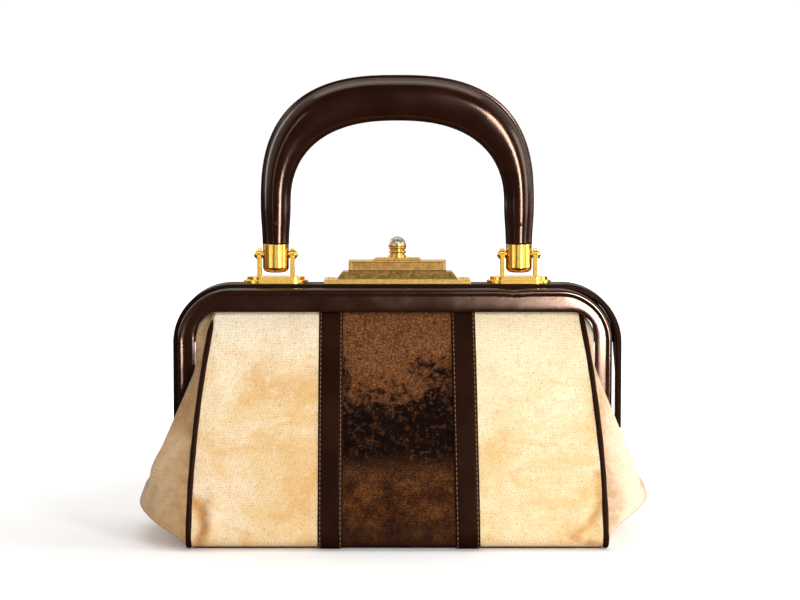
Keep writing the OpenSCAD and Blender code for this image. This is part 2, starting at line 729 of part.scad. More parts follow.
// A brass ferrule caps each end of the handle and turns on the pivot pin
module ferrule(side) {
    r = ferrule_d / 2;
    color(brass) translate([side * anchor_x, deck_y, 0]) difference() {
        translate([0, 0, ferrule_z]) rotate_extrude() {
            square([r - ferrule_r, ferrule_h]);
            translate([0, ferrule_r]) square([r, ferrule_h - ferrule_r]);
            translate([r - ferrule_r, ferrule_r]) circle(ferrule_r);
        }
        along_x(-ferrule_d, 0, pivot_z) cylinder(d = pivot_d + 2 * run_gap, h = 2 * ferrule_d);
        translate([0, 0, core_z - fit_gap]) cylinder(d = handle_core_d + 2 * fit_gap, h = ferrule_h);
    }
}
module left_ferrule() { ferrule(-1); }
module right_ferrule() { ferrule(1); }

// Stepped anchor plate with a seat for the yoke
yoke_l = yoke_gap + 2 * yoke_t;
module anchor_plate(side) {
    color(brass) translate([side * anchor_x, deck_y, 0]) difference() {
        union() {
            translate([0, 0, hoop_h]) linear_extrude(plate_step) round_ended(plate_l, plate_w);
            translate([0, 0, hoop_h + plate_step]) linear_extrude(plate_step)
                round_ended(plate_l - 2 * plate_ledge, plate_w - 2 * plate_ledge);
        }
        translate([-yoke_l / 2 - fit_gap, -yoke_w / 2 - fit_gap, plate_top - yoke_base_t])
            cube([yoke_l + 2 * fit_gap, yoke_w + 2 * fit_gap, 2 * yoke_base_t]);
        for (t = [-1, 1]) translate([t * rivet_pitch / 2, 0, hoop_h - overrun])
            cylinder(d = rivet_d + 2 * fit_gap, h = 2 * plate_step + 2 * overrun);
    }
}
module left_anchor_plate() { anchor_plate(-1); }
module right_anchor_plate() { anchor_plate(1); }

// U-shaped yoke: two cheeks with round tops on a strip that is let into the plate
module yoke(side) {
    base = plate_top - yoke_base_t;
    color(brass) translate([side * anchor_x, deck_y, 0]) difference() {
        union() {
            translate([-yoke_l / 2, -yoke_w / 2, base]) cube([yoke_l, yoke_w, yoke_base_t]);
            for (x = [-yoke_l / 2, yoke_gap / 2]) {
                translate([x, -yoke_w / 2, base]) cube([yoke_t, yoke_w, pivot_z - base]);
                along_x(x, 0, pivot_z) cylinder(d = yoke_w, h = yoke_t);
            }
        }
        along_x(-yoke_l, 0, pivot_z) cylinder(d = pivot_d + 2 * run_gap, h = 2 * yoke_l);
        for (t = [-1, 1]) translate([t * rivet_pitch / 2, 0, base - overrun])
            cylinder(d = rivet_d + 2 * fit_gap, h = yoke_base_t + 2 * overrun);
    }
}
module left_yoke() { yoke(-1); }
module right_yoke() { yoke(1); }

// Pivot pin with a dome at each end
module anchor_pin(side) {
    reach = yoke_l / 2 + run_gap;
    color(brass) translate([side * anchor_x, deck_y, pivot_z]) {
        along_x(-reach, 0, 0) cylinder(d = pivot_d, h = 2 * reach);
        for (m = [0, 1]) mirror([m, 0, 0]) along_x(reach, 0, 0) dome(pivot_head_r, pivot_head_h);
    }
}
module left_anchor_pin() { anchor_pin(-1); }
module right_anchor_pin() { anchor_pin(1); }

// Rivets hold the yokes and plates to the hoop, flush above and headed below
module anchor_rivets() {
    color(steel) for (x = rivet_places()) translate([x, deck_y, hoop_under]) {
        cylinder(d = rivet_d, h = plate_top - hoop_under);
        translate([0, 0, -rivet_head_h]) cylinder(d = rivet_head_d, h = rivet_head_h);
    }
}
module clasp_rivets() {
    color(brass) for (s = [-1, 1]) translate([s * clasp_rivet_x, deck_y, 0]) {
        translate([0, 0, hoop_under]) cylinder(d = rivet_d, h = flange_top - hoop_under);
        translate([0, 0, hoop_under - rivet_head_h]) cylinder(d = rivet_head_d, h = rivet_head_h);
        translate([0, 0, flange_top]) dome(rivet_head_d / 2, rivet_head_h);
    }
}

// Clasp tiers: a flange on the hoop, a bevelled housing and a cap with sunk faces
module clasp_flange() {
    color(brass) difference() {
        translate([-flange_l / 2, deck_y - flange_d / 2, hoop_h]) cube([flange_l, flange_d, flange_t]);
        bolt_slot(hoop_h - overrun, flange_top + overrun);
        for (s = [-1, 1]) translate([s * clasp_rivet_x, deck_y, hoop_h - overrun])
            cylinder(d = rivet_d + 2 * fit_gap, h = flange_t + 2 * overrun);
    }
}
module bevelled(l, d, z0, z1, bevel) {
    intersection() {
        upright(deck_y - d / 2, deck_y + d / 2)
            polygon([[-l / 2, z0], [l / 2, z0], [l / 2 - bevel, z1], [bevel - l / 2, z1]]);
        across(-l / 2, l / 2) translate([deck_y, 0])
            polygon([[-d / 2, z0], [d / 2, z0], [d / 2 - bevel, z1], [bevel - d / 2, z1]]);
    }
}
module clasp_room(z0, z1) {
    l = cap_l - 2 * shell_t;
    d = cap_d - 2 * shell_t;
    translate([-l / 2, deck_y - d / 2, z0]) cube([l, d, z1 - z0]);
}
module clasp_housing() {
    color(brass) difference() {
        bevelled(housing_l, flange_d, flange_top, housing_top, housing_bevel);
        clasp_room(flange_top - overrun, housing_top + overrun);
    }
}
module clasp_cap() {
    face_l = cap_l - 2 * cap_border;
    face_h = cap_h - cap_border;
    color(brass) difference() {
        translate([-cap_l / 2, deck_y - cap_d / 2, housing_top]) cube([cap_l, cap_d, cap_h]);
        clasp_room(housing_top - overrun, cap_under);
        for (y = [deck_y - cap_d / 2 - cap_recess, deck_y + cap_d / 2 - cap_recess])
            translate([-face_l / 2, y, housing_top + cap_border / 2]) cube([face_l, 2 * cap_recess, face_h]);
        translate([-stem_d / 2 - slot_gap, deck_y - stem_d / 2 - slot_gap, cap_under - overrun])
            cube([stem_d + slide_travel + 2 * slot_gap, stem_d + 2 * slot_gap, shell_t + 2 * overrun]);
    }
}

// The slider covers the cap's slot and carries the knob, whose stem reaches down to the bolt
module clasp_slider() {
    color(brass) difference() {
        upright(deck_y - slider_d / 2, deck_y + slider_d / 2)
            polygon([
                [-slider_l / 2, slider_z], [slider_l / 2, slider_z],
                [slider_l / 2 - slider_bevel, knob_z], [slider_bevel - slider_l / 2, knob_z]]);
        translate([0, deck_y, slider_z - overrun])
            cylinder(d = stem_d + 2 * fit_gap, h = slider_t + 2 * overrun);
    }
}
// Radii of the knob's foot, waist and rings, as shares of its head, and heights as shares of its height
knob_foot_shares = [1, 0.1];
knob_waist_share = 0.82;
knob_ring_shares = [0.27, 0.46];
knob_ring_share = 0.17;
module clasp_knob() {
    r = knob_d / 2;
    ring = r * knob_ring_share;
    color(brass) translate([0, deck_y, 0]) {
        translate([0, 0, knob_z]) rotate_extrude() {
            square([r * knob_foot_shares[0], knob_h * knob_foot_shares[1]]);
            square([r * knob_waist_share, knob_h - r]);
            for (s = knob_ring_shares) translate([r * knob_waist_share, knob_h * s]) circle(ring);
            translate([0, knob_h - r]) intersection() {
                circle(r);
                translate([0, -r * knob_ring_share]) square([r, 2 * r]);
            }
        }
        translate([0, 0, bolt_z]) cylinder(d = stem_d, h = knob_z - bolt_z);
    }
}

// The latch bolt hangs under the cap; its nose reaches down through the hoop to the jaw's tongue
module latch_bolt() {
    nose_z = hoop_under - nose_out;
    color(steel) difference() {
        union() {
            translate([-bolt_l / 2, nose_y, bolt_z]) cube([bolt_l, bolt_w, latch_t]);
            translate([-nose_l / 2, nose_y, nose_z]) cube([nose_l, nose_w, bolt_z - nose_z]);
        }
        translate([0, deck_y, bolt_z - overrun])
            cylinder(d = stem_d + 2 * fit_gap, h = latch_t + 2 * overrun);
    }
}
module latch_spring() {
    x0 = bolt_l / 2 + fit_gap + spring_wire / 2;
    x1 = cap_l / 2 - shell_t - fit_gap - spring_wire / 2;
    z = bolt_top - spring_r - spring_wire / 2;
    n = spring_turns * spring_steps;
    color(steel) rod([for (i = [0:n])
        let (a = 360 * i / spring_steps, radial = [0, cos(a), sin(a)],
            centre = [mixed(x0, x1, i / n), deck_y, z])
            [for (j = [0:spring_sides - 1]) let (b = 360 * j / spring_sides)
                centre + radial * (spring_r + spring_wire / 2 * cos(b)) - [spring_wire / 2 * sin(b), 0, 0]]]);
}

// Tongue under the jaw's rim: its end is a hook, which the bolt's nose leaves at the end of its travel
module latch_tongue() {
    arm_z = rim_under - tongue_step;
    color(steel) difference() {
        across(-tongue_l / 2, tongue_l / 2) polygon([
            [jaw_front + jaw_t, rim_under], [tongue_foot, rim_under], [tongue_foot, arm_z],
            [tongue_tip, arm_z], [tongue_tip, arm_z - latch_t], [jaw_front + jaw_t, arm_z - latch_t]]);
        translate([-nose_l / 2 - slot_gap, nose_y - slot_gap, arm_z - latch_t - overrun])
            cube([tongue_l, nose_w + 2 * slot_gap, latch_t + 2 * overrun]);
        translate([nose_l / 2 + slot_gap, nose_y - slot_gap, arm_z - latch_t - overrun])
            cube([tongue_l, tongue_tip, latch_t + 2 * overrun]);
    }
}

left_panel();
centre_panel();
right_panel();
front_left_strap();
front_right_strap();
rear_left_strap();
rear_right_strap();
base_sole();
left_gusset();
right_gusset();
left_piping();
right_piping();
lining();
base_board();
front_frame_core();
front_frame_cover();
rear_frame_core();
rear_frame_cover();
rear_facing();
left_hinge_pin();
right_hinge_pin();
left_hinge_washer();
right_hinge_washer();
handle_grip();
handle_core();
handle_tacks();
left_ferrule();
right_ferrule();
left_anchor_plate();
right_anchor_plate();
left_yoke();
right_yoke();
left_anchor_pin();
right_anchor_pin();
anchor_rivets();
clasp_flange();
clasp_housing();
clasp_cap();
clasp_slider();
clasp_knob();
latch_bolt();
latch_spring();
latch_tongue();
clasp_rivets();
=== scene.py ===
import functools
import json
import math
import bmesh
import bpy
import numpy as np
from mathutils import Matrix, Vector


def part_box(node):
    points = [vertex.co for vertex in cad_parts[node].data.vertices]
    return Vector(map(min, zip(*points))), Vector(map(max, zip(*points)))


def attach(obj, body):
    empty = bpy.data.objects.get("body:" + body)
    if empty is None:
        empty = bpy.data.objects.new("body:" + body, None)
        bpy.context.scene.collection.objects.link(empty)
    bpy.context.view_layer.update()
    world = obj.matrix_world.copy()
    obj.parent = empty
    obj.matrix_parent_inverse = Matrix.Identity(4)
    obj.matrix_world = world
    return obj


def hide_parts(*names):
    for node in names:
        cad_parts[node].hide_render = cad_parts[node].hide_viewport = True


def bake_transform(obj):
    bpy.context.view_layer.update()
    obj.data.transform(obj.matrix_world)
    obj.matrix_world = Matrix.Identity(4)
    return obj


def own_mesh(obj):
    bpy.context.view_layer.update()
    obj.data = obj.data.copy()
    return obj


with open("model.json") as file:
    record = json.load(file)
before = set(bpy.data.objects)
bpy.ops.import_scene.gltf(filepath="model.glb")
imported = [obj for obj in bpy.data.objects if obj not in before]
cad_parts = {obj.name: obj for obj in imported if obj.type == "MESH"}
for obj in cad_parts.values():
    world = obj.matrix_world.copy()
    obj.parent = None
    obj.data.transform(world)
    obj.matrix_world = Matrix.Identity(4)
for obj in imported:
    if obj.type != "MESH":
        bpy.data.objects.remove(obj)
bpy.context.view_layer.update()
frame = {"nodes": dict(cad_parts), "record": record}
mm = 0.001
print("stage: frame loaded")

# Sizes in millimetres, the same as the solids underneath
body = dict(baseW=227, mouthW=203, baseD=118, baseR=8, lean=14, baseZ=1.2, top=129.5, mouthHalf=10.93,
            pipingR=1.7, strapW=13.5)
jaw = dict(front=-18.5, back=-4.5, half=120.8, top=139.4, r=30, innerHalf=111.2, low=126.4, innerR=13,
           offset=-1.4, legEnd=60)
hoop = dict(front=-3.5, back=18.5, half=126, top=141, r=33, thick=3.4, legEnd=60, taperTop=106.5, neck=90.2,
            footBack=4)
handle = dict(y=7.5, x=68.5, foot=163, spring=185, top=258, endW=15, legW=17, topW=25.7, endD=15, topD=20, welt=1.8)


def linear(text):
    # sRGB hex to the linear values that shaders use
    parts = [int(text[i:i + 2], 16) / 255 for i in (1, 3, 5)]
    return tuple(c / 12.92 if c <= 0.04045 else ((c + 0.055) / 1.055) ** 2.4 for c in parts) + (1.0,)


def eased(t):
    c = np.clip(t, 0, 1)
    return c * c * (3 - 2 * c)


# Mesh helpers
def gridQuads(rows, cols, start=0, wrap=False):
    # quads of a grid of points, closed round its columns if wrapped
    i, j = np.meshgrid(np.arange(rows - 1), np.arange(cols if wrap else cols - 1), indexing="ij")
    k = (j + 1) % cols
    return (start + np.stack([i * cols + j, i * cols + k, (i + 1) * cols + k, (i + 1) * cols + j], -1)).reshape(-1, 4)


def makePiece(name, points, quads, material, caps=()):
    # points in millimetres; caps are loops of point numbers that close an open end
    mesh = bpy.data.meshes.new(name)
    faces = [tuple(q) for q in np.asarray(quads).tolist()] + [tuple(c) for c in caps]
    mesh.from_pydata((np.asarray(points).reshape(-1, 3) * mm).tolist(), [], faces)
    bm = bmesh.new()
    bm.from_mesh(mesh)
    bmesh.ops.recalc_face_normals(bm, faces=bm.faces)
    bm.to_mesh(mesh)
    bm.free()
    mesh.polygons.foreach_set("use_smooth", np.ones(len(mesh.polygons), bool))
    mesh.update()
    mesh.materials.append(material)
    piece = bpy.data.objects.new(name, mesh)
    bpy.context.scene.collection.objects.link(piece)
    return piece


def shellPiece(name, outer, inner, material):
    # a thin closed shell between two grids of points
    rows, cols = outer.shape[:2]
    n = rows * cols
    edge = np.concatenate([np.arange(cols), np.arange(1, rows) * cols + cols - 1,
                           (rows - 1) * cols + np.arange(cols - 2, -1, -1), np.arange(rows - 2, 0, -1) * cols])
    nxt = np.roll(edge, -1)
    quads = np.concatenate([gridQuads(rows, cols), gridQuads(rows, cols, n)[:, ::-1],
                            np.stack([edge, edge + n, nxt + n, nxt], -1)])
    return makePiece(name, np.concatenate([outer.reshape(-1, 3), inner.reshape(-1, 3)]), quads, material)


def tubePiece(name, rings, material):
    # a closed skin through rings of points, with its two ends capped
    rows, cols = rings.shape[:2]
    return makePiece(name, rings, gridQuads(rows, cols, wrap=True), material,
                     [range(cols), range((rows - 1) * cols, rows * cols)])


def declare(piece, node, carrier=None):
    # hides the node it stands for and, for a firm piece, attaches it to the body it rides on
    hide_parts(node)
    if carrier:
        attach(piece, carrier)


def paint(piece, name, outer, inner, rule):
    # stores a value per point that the material reads
    values = np.concatenate([rule(outer).ravel(), rule(inner).ravel()]).astype(np.float32)
    piece.data.attributes.new(name, "FLOAT", "POINT").data.foreach_set("value", values)


# Shader helpers: the first fills or links a node's inputs, the second adds a node and gives its outputs
def fillInputs(node, inputs):
    for key, value in inputs.items():
        if isinstance(value, bpy.types.NodeSocket):
            node.id_data.links.new(value, node.inputs[key])
        else:
            node.inputs[key].default_value = value


def addNode(tree, kind, inputs=None, stops=(), **settings):
    # stops are pairs of place and sRGB colour for a colour ramp
    made = tree.nodes.new("ShaderNode" + kind)
    for key, value in settings.items():
        setattr(made, key, value)
    fillInputs(made, inputs or {})
    for _ in stops[2:]:
        made.color_ramp.elements.new(0.5)
    for k, (where, text) in enumerate(stops):
        made.color_ramp.elements[k].position = where
        made.color_ramp.elements[k].color = linear(text)
    return made.outputs


def newMaterial(name):
    # also gives the function that adds its nodes, its shader and the place in millimetres
    material = bpy.data.materials.new(name)
    material.use_nodes = True
    add = functools.partial(addNode, material.node_tree)
    coords = add("TexCoord")["Object"]
    place = add("VectorMath", {0: coords, 1: (1 / mm, 1 / mm, 1 / mm)}, operation="MULTIPLY")[0]
    return material, add, material.node_tree.nodes["Principled BSDF"], place


# Settings that come up often: Map Range nodes ease from inputs 1 and 2 to 3 and 4, Mix nodes lay colour 7 over colour 6
# by share 0, and Math nodes give input 0 times 1, 0 plus 1, or 0 times 1 plus 2
smooth = dict(interpolation_type="SMOOTHSTEP")
rgb = dict(data_type="RGBA")
times, plus, timesPlus = (dict(operation=key) for key in ("MULTIPLY", "ADD", "MULTIPLY_ADD"))


# Dark brown polished leather: broad soft highlights, a fine grain and a little wear
def leatherMaterial(name, base, worn, roughness, grain, shine):
    material, add, shader, place = newMaterial(name)
    cloud = add("TexNoise", {"Vector": place, "Scale": 0.05, "Detail": 4, "Roughness": 0.55})[0]
    creases = add("TexNoise", {"Vector": place, "Scale": 0.3, "Detail": 5, "Roughness": 0.6, "Distortion": 0.8})[0]
    pores = add("TexVoronoi", {"Vector": place, "Scale": 1.1}, feature="F1")["Distance"]
    height = add("Math", {0: pores, 1: 0.35, 2: creases}, **timesPlus)[0]
    low, high = 0.85 * roughness, 1.25 * roughness
    fillInputs(shader, {
        "Base Color": add("ValToRGB", {0: cloud}, [(0.3, base), (0.75, worn)])[0],
        "Roughness": add("MapRange", {0: cloud, 1: 0.3, 2: 0.75, 3: low, 4: high}, **smooth)[0],
        "Normal": add("Bump", {"Height": height, "Strength": grain, "Distance": 0.0002})[0],
        "Specular IOR Level": shine, "Specular Tint": linear("#ffd2b8")})
    return material


# Worn cream velvet: a dotted twill weave under short pile, yellowed in patches, with stains and painted shade where the
# piece says so and painted shade where it is seen edge-on
def creamMaterial(name, pale, warm, stainAndShade, overallShade=0.0, grimeAndShade="#c07c36"):
    material, add, shader, place = newMaterial(name)
    x, y, z = add("SeparateXYZ", {0: place})
    # patches, long smears and mottling; the cloth stays paler towards the top
    drawn = add("Mapping", {"Vector": place, "Location": (70, 15, 30), "Scale": (0.5, 0.5, 1.6)})[0]
    clouds = [(drawn, 0.05, 6, 0.65, 1.0), (place, 0.03, 5, 0.6, 0.6), (place, 0.14, 5, 0.7, 0.5),
              (place, 0.16, 4, 0.7, 0), (place, 0.3, 3, 0.55, 0), (place, 0.4, 3, 0.7, 0), (place, 0.9, 3, 0.7, 0)]
    smears, patches, mottle, broken, wobble, uneven, fuzz = (
        add("TexNoise", {"Vector": where, "Scale": perMm, "Detail": detail, "Roughness": rough, "Distortion": warp})[0]
        for where, perMm, detail, rough, warp in clouds)
    ranges = [(smears, 0.5, 0.74, 0.6, stainAndShade), (z, 80, 118, 0.6, pale),
              (mottle, 0.52, 0.7, 0.4, stainAndShade), (mottle, 0.48, 0.3, 0.5, pale)]
    layers = [(add("MapRange", {0: value, 1: low, 2: high, 4: most}, **smooth)[0], tint)
              for value, low, high, most, tint in ranges]
    # the left side and lower half turn darker and more golden: yellowed stains, with painted shade on the left, away
    # from the key light
    side = add("MapRange", {0: x, 1: 70, 2: -60, 3: 0.03, 4: 0.36}, **smooth)[0]
    lower = add("MapRange", {0: z, 1: 115, 2: 45}, **smooth)[0]
    layers.append((add("Math", {0: side, 1: lower}, **times)[0], stainAndShade))
    # brown stain and painted shade follow the values stored on the cloth, broken up by the pile; a set amount of
    # painted shade can also lie over the whole piece
    mark = add("Attribute", attribute_name="stainAndShade")["Fac"]
    broken = add("MapRange", {0: broken, 1: 0.25, 2: 0.7, 3: 0.45}, **smooth)[0]
    stainAndShadeShare = add("Math", {0: mark, 1: broken, 2: overallShade}, **timesPlus)[0]
    layers.append((add("Math", {0: stainAndShadeShare, 1: 0.85}, operation="MINIMUM")[0], grimeAndShade))
    # an uneven weave of slanting ridges crossed by rows
    around = add("Math", {0: x, 1: y}, **plus)[0]
    slope = add("Math", {0: z, 1: 0.75, 2: around}, **timesPlus)[0]
    wobble = add("Math", {0: wobble, 1: 6.0}, **times)[0]
    twill, weft = (add("Math", {0: way, 1: perMm, 2: wobble}, **timesPlus)[0]
                   for way, perMm in ((slope, 3.2), (z, 4.4)))
    twill, weft = (add("Math", {0: wave}, operation="SINE")[0] for wave in (twill, weft))
    ridges = add("Math", {0: twill, 1: 1.0}, **plus)[0]
    rows = add("Math", {0: weft, 1: 0.4, 2: 0.8}, **timesPlus)[0]
    weave = add("Math", {0: ridges, 1: rows}, **times)[0]
    uneven = add("MapRange", {0: uneven, 1: 0.36, 2: 0.66, 3: 0.05, 4: 0.42}, **smooth)[0]
    # loose threads: short strokes that run with the twill
    run = add("Math", {0: z, 1: -1.3, 2: around}, **timesPlus)[0]
    thin, long = (add("Math", {0: way, 1: perMm}, **times)[0]
                  for way, perMm in ((slope, 1.2), (run, 0.36)))
    along = add("CombineXYZ", {0: thin, 1: long})[0]
    strokes = add("TexNoise", {"Vector": along, "Scale": 1.0, "Detail": 2, "Roughness": 0.6})[0]
    strokes = add("MapRange", {0: strokes, 1: 0.5, 2: 0.76, 4: 0.58}, **smooth)[0]
    loose = add("Math", {0: fuzz, 1: 0.1, 2: strokes}, **timesPlus)[0]
    deep = add("MapRange", {0: weave, 1: 0.5, 2: 2.3}, **smooth)[0]
    layers.append((add("Math", {0: deep, 1: uneven, 2: loose}, **timesPlus)[0], "#b0854c"))
    # painted shade: the cloth darkens where it is seen edge-on, along its outlines
    grazing = add("LayerWeight", {"Blend": 0.5})["Facing"]
    layers.append((add("MapRange", {0: grazing, 1: 0.72, 2: 1.0, 4: 0.7}, **smooth)[0], grimeAndShade))
    colour = add("ValToRGB", {0: patches}, [(0.34, pale), (0.5, warm), (0.72, stainAndShade)])[0]
    for share, tint in layers:
        colour = add("Mix", {0: share, 6: colour, 7: linear(tint)}, **rgb)[2]
    height = add("Math", {0: weave, 1: -0.16, 2: fuzz}, **timesPlus)[0]
    fillInputs(shader, {
        "Base Color": colour, "Roughness": 0.9, "Specular IOR Level": 0.12,
        "Sheen Weight": 0.2, "Sheen Roughness": 0.5,
        "Normal": add("Bump", {"Height": height, "Strength": 0.55, "Distance": 0.0004})[0]})
    return material


# Brown velvet: speckled and paler at the top, crushed almost black across the middle, finely ribbed below
def brownMaterial(name):
    material, add, shader, place = newMaterial(name)
    height = add("SeparateXYZ", {0: place})[2]
    speck = add("TexNoise", {"Vector": place, "Scale": 0.28, "Detail": 4, "Roughness": 0.7})[0]
    blotch = add("TexNoise", {"Vector": place, "Scale": 0.09, "Detail": 4, "Roughness": 0.65, "Distortion": 0.4})[0]
    fuzz = add("TexNoise", {"Vector": place, "Scale": 1.1, "Detail": 1.5, "Roughness": 0.6})[0]
    finest = add("Math", {0: fuzz, 1: 0.65}, **times)[0]
    grain = add("Math", {0: speck, 1: 0.35, 2: finest}, **timesPlus)[0]
    # the crush value on the cloth is 0 in the paler top and 1 in the dark band
    crush = add("Attribute", attribute_name="crush")["Fac"]
    torn = add("Math", {0: fuzz, 1: 1.6, 2: -2.8}, **timesPlus)[0]
    torn = add("Math", {0: speck, 1: 4.0, 2: torn}, **timesPlus)[0]
    torn = add("Math", {0: crush, 1: torn}, **plus)[0]
    dark = add("MapRange", {0: torn, 1: 0.05, 2: 0.95}, **smooth)[0]
    # each zone has its share of blotches, its range and its colours
    zones = [(0.0, 0.34, 0.66, [(0.0, "#3d2110"), (0.5, "#6d4226"), (1.0, "#9a673e")]),
             (0.5, 0.46, 0.7, [(0.0, "#0a0201"), (0.5, "#160803"), (1.0, "#6b4426")]),
             (0.45, 0.34, 0.66, [(0.0, "#1c0c05"), (0.55, "#482712"), (1.0, "#744822")])]
    tones = []
    for share, low, high, stops in zones:
        part = add("Math", {0: grain, 1: 1 - share}, **times)[0]
        part = add("Math", {0: blotch, 1: share, 2: part}, **timesPlus)[0]
        part = add("MapRange", {0: part, 1: low, 2: high}, **smooth)[0]
        tones.append(add("ValToRGB", {0: part}, stops)[0])
    top, black, ribbed = tones
    hem = add("MapRange", {0: height, 1: 24, 2: 4, 4: 0.6}, **smooth)[0]
    ribbed = add("Mix", {0: hem, 6: ribbed, 7: linear("#2b160b")}, **rgb)[2]
    colour = add("Mix", {0: dark, 6: top, 7: black}, **rgb)[2]
    low = add("Math", {0: blotch, 1: 26, 2: height}, **timesPlus)[0]
    low = add("MapRange", {0: low, 1: 66, 2: 52}, **smooth)[0]
    colour = add("Mix", {0: low, 6: colour, 7: ribbed}, **rgb)[2]
    wobble = add("Math", {0: fuzz, 1: 1.2}, **times)[0]
    ribs = add("Math", {0: height, 1: 6.2, 2: wobble}, **timesPlus)[0]
    ribs = add("Math", {0: ribs}, operation="SINE")[0]
    grooves = add("MapRange", {0: ribs, 1: -0.3, 2: 1.0}, **smooth)[0]
    depth = add("MapRange", {0: height, 1: 90, 2: 45, 3: 0.08, 4: 0.55}, **smooth)[0]
    grooves = add("Math", {0: grooves, 1: depth}, **times)[0]
    raised = add("Math", {0: ribs, 1: 0.3, 2: fuzz}, **timesPlus)[0]
    fillInputs(shader, {
        "Base Color": add("Mix", {0: grooves, 6: colour, 7: linear("#140803")}, **rgb)[2],
        "Normal": add("Bump", {"Height": raised, "Strength": 0.6, "Distance": 0.0004})[0],
        "Roughness": 0.95, "Specular IOR Level": 0.08, "Sheen Weight": 0.08, "Sheen Tint": linear("#7a4a2c")})
    return material


# Brass: polished gold on the anchors, speckled grey-green tarnish on the clasp; small edge rounds catch light
def brassMaterial(name, bright, dull, tarnish, low, high, sunk=0.0):
    material, add, shader, place = newMaterial(name)
    _, y, z = add("SeparateXYZ", {0: place})
    patches = add("TexNoise", {"Vector": place, "Scale": 0.35, "Detail": 4, "Roughness": 0.6})[0]
    specks = add("TexNoise", {"Vector": place, "Scale": 2.2, "Detail": 3, "Roughness": 0.6})[0]
    patches = add("Math", {0: patches, 1: 0.6}, **times)[0]
    share = add("Math", {0: specks, 1: 0.4, 2: patches}, **timesPlus)[0]
    share = add("MapRange", {0: share, 1: 0.4, 2: 0.64, 4: tarnish}, **smooth)[0]
    above = add("MapRange", {0: z, 1: 142.5, 2: 148, 3: 0.3}, **smooth)[0]
    share = add("Math", {0: share, 1: above}, **times)[0]
    if sunk:
        # dirt stays in the sunk faces of the cap
        off = add("Math", {0: y, 1: handle["y"]}, operation="SUBTRACT")[0]
        off = add("Math", {0: off}, operation="ABSOLUTE")[0]
        within = add("MapRange", {0: off, 1: 5.8, 2: 5.6}, **smooth)[0]
        below = add("MapRange", {0: z, 1: 153.3, 2: 153.1}, **smooth)[0]
        inside = add("Math", {0: within, 1: below}, **times)[0]
        share = add("Math", {0: inside, 1: sunk, 2: share}, **timesPlus)[0]
    # handling keeps the edges bright
    rounds = add("Bevel", {"Radius": 0.0004}, samples=6)[0]
    straight = add("NewGeometry")["True Normal"]
    turned = add("VectorMath", {0: rounds, 1: straight}, operation="DOT_PRODUCT")["Value"]
    flat = add("MapRange", {0: turned, 1: 0.85, 2: 0.99}, **smooth)[0]
    share = add("Math", {0: share, 1: flat}, **times)[0]
    colour = add("Mix", {0: share, 6: linear(bright), 7: linear(dull)}, **rgb)[2]
    if sunk:
        # painted shade: a dark line in the joint under the cap
        joint = add("MapRange", {0: z, 1: 149.0, 2: 148.3, 4: 0.85}, **smooth)[0]
        colour = add("Mix", {0: joint, 6: colour, 7: linear("#3a2208")}, **rgb)[2]
    pitted = 0.16 * tarnish + 0.02
    fillInputs(shader, {
        "Base Color": colour,
        "Roughness": add("Math", {0: share, 1: high - low, 2: low}, **timesPlus)[0],
        "Metallic": add("Math", {0: share, 1: -0.3 * tarnish, 2: 1.0}, **timesPlus)[0],
        "Normal": add("Bump", {"Height": specks, "Strength": pitted, "Distance": 0.0001, "Normal": rounds})[0]})
    return material


# Plain steel, cloth, board and thread: one colour, a little clouded
def plainMaterial(name, colour, roughness, metallic=0.0, grain=0.0):
    material, add, shader, place = newMaterial(name)
    cloud = add("TexNoise", {"Vector": place, "Scale": 0.3, "Detail": 4, "Roughness": 0.55})[0]
    share = add("MapRange", {0: cloud, 1: 0.3, 2: 0.7, 4: 0.25}, **smooth)[0]
    tone = add("Mix", {0: share, 6: linear(colour), 7: linear("#2a241e")}, **rgb)[2]
    fillInputs(shader, {"Base Color": tone, "Roughness": roughness, "Metallic": metallic})
    if grain:
        fibres = add("TexNoise", {"Vector": place, "Scale": 2.5, "Detail": 2, "Roughness": 0.55})[0]
        fillInputs(shader, {"Normal": add("Bump", {"Height": fibres, "Strength": grain, "Distance": 0.0002})[0]})
    return material


leather = leatherMaterial("dark brown leather", base="#1b0b05", worn="#271209", roughness=0.42, grain=0.2, shine=0.09)
jawLeather = leatherMaterial("polished frame leather", base="#1e0c07", worn="#29130b", roughness=0.155, grain=0.05,
                             shine=0.45)
handleLeather = leatherMaterial("handle leather", base="#1b0b06", worn="#261109", roughness=0.16, grain=0.18,
                                shine=0.48)
creamVelvet = creamMaterial("cream velvet", pale="#fdf3dc", warm="#f2daae", stainAndShade="#dfad6a")
# painted shade: a darker, browner copy of the cream velvet for the left gusset, which faces away from the key light
shadedSideVelvet = creamMaterial("cream velvet, painted shade side", pale="#f0d6b0", warm="#e0bc90", stainAndShade="#c89a64",
                             overallShade=0.08, grimeAndShade="#8d6238")
# painted light: a paler copy of the cream velvet for the right panel, which the key light falls on
palerVelvet = creamMaterial("cream velvet, right panel", pale="#f7e9c8", warm="#efd9ae", stainAndShade="#e3bb7c",
                            grimeAndShade="#c58a3c")
# painted light: a pale, even copy of the cream velvet for the right gusset, which the key light falls on
litSideVelvet = creamMaterial("cream velvet, painted light side", pale="#f5ead6", warm="#f0e0c6", stainAndShade="#e6cda4",
                            grimeAndShade="#b2702f")
brownVelvet = brownMaterial("brown velvet")
goldBrass = brassMaterial("polished brass", bright="#f3c25c", dull="#cb8c30", tarnish=0.3, low=0.18, high=0.28)
agedBrass = brassMaterial("tarnished brass", bright="#e8b964", dull="#b58748", tarnish=0.9, low=0.22, high=0.36)
capBrass = brassMaterial("tarnished brass, cap", bright="#e8b964", dull="#a87c42", tarnish=0.8, low=0.22, high=0.38,
                         sunk=0.5)
steel = plainMaterial("frame steel", "#8f9194", roughness=0.35, metallic=1.0)
liningCloth = plainMaterial("lining cloth", "#7d5f45", roughness=0.85, grain=0.4)
boardFibre = plainMaterial("fibre board", "#a98f68", roughness=0.9, grain=0.3)
thread = plainMaterial("tan thread", "#80583a", roughness=0.8)
print("stage: materials made")

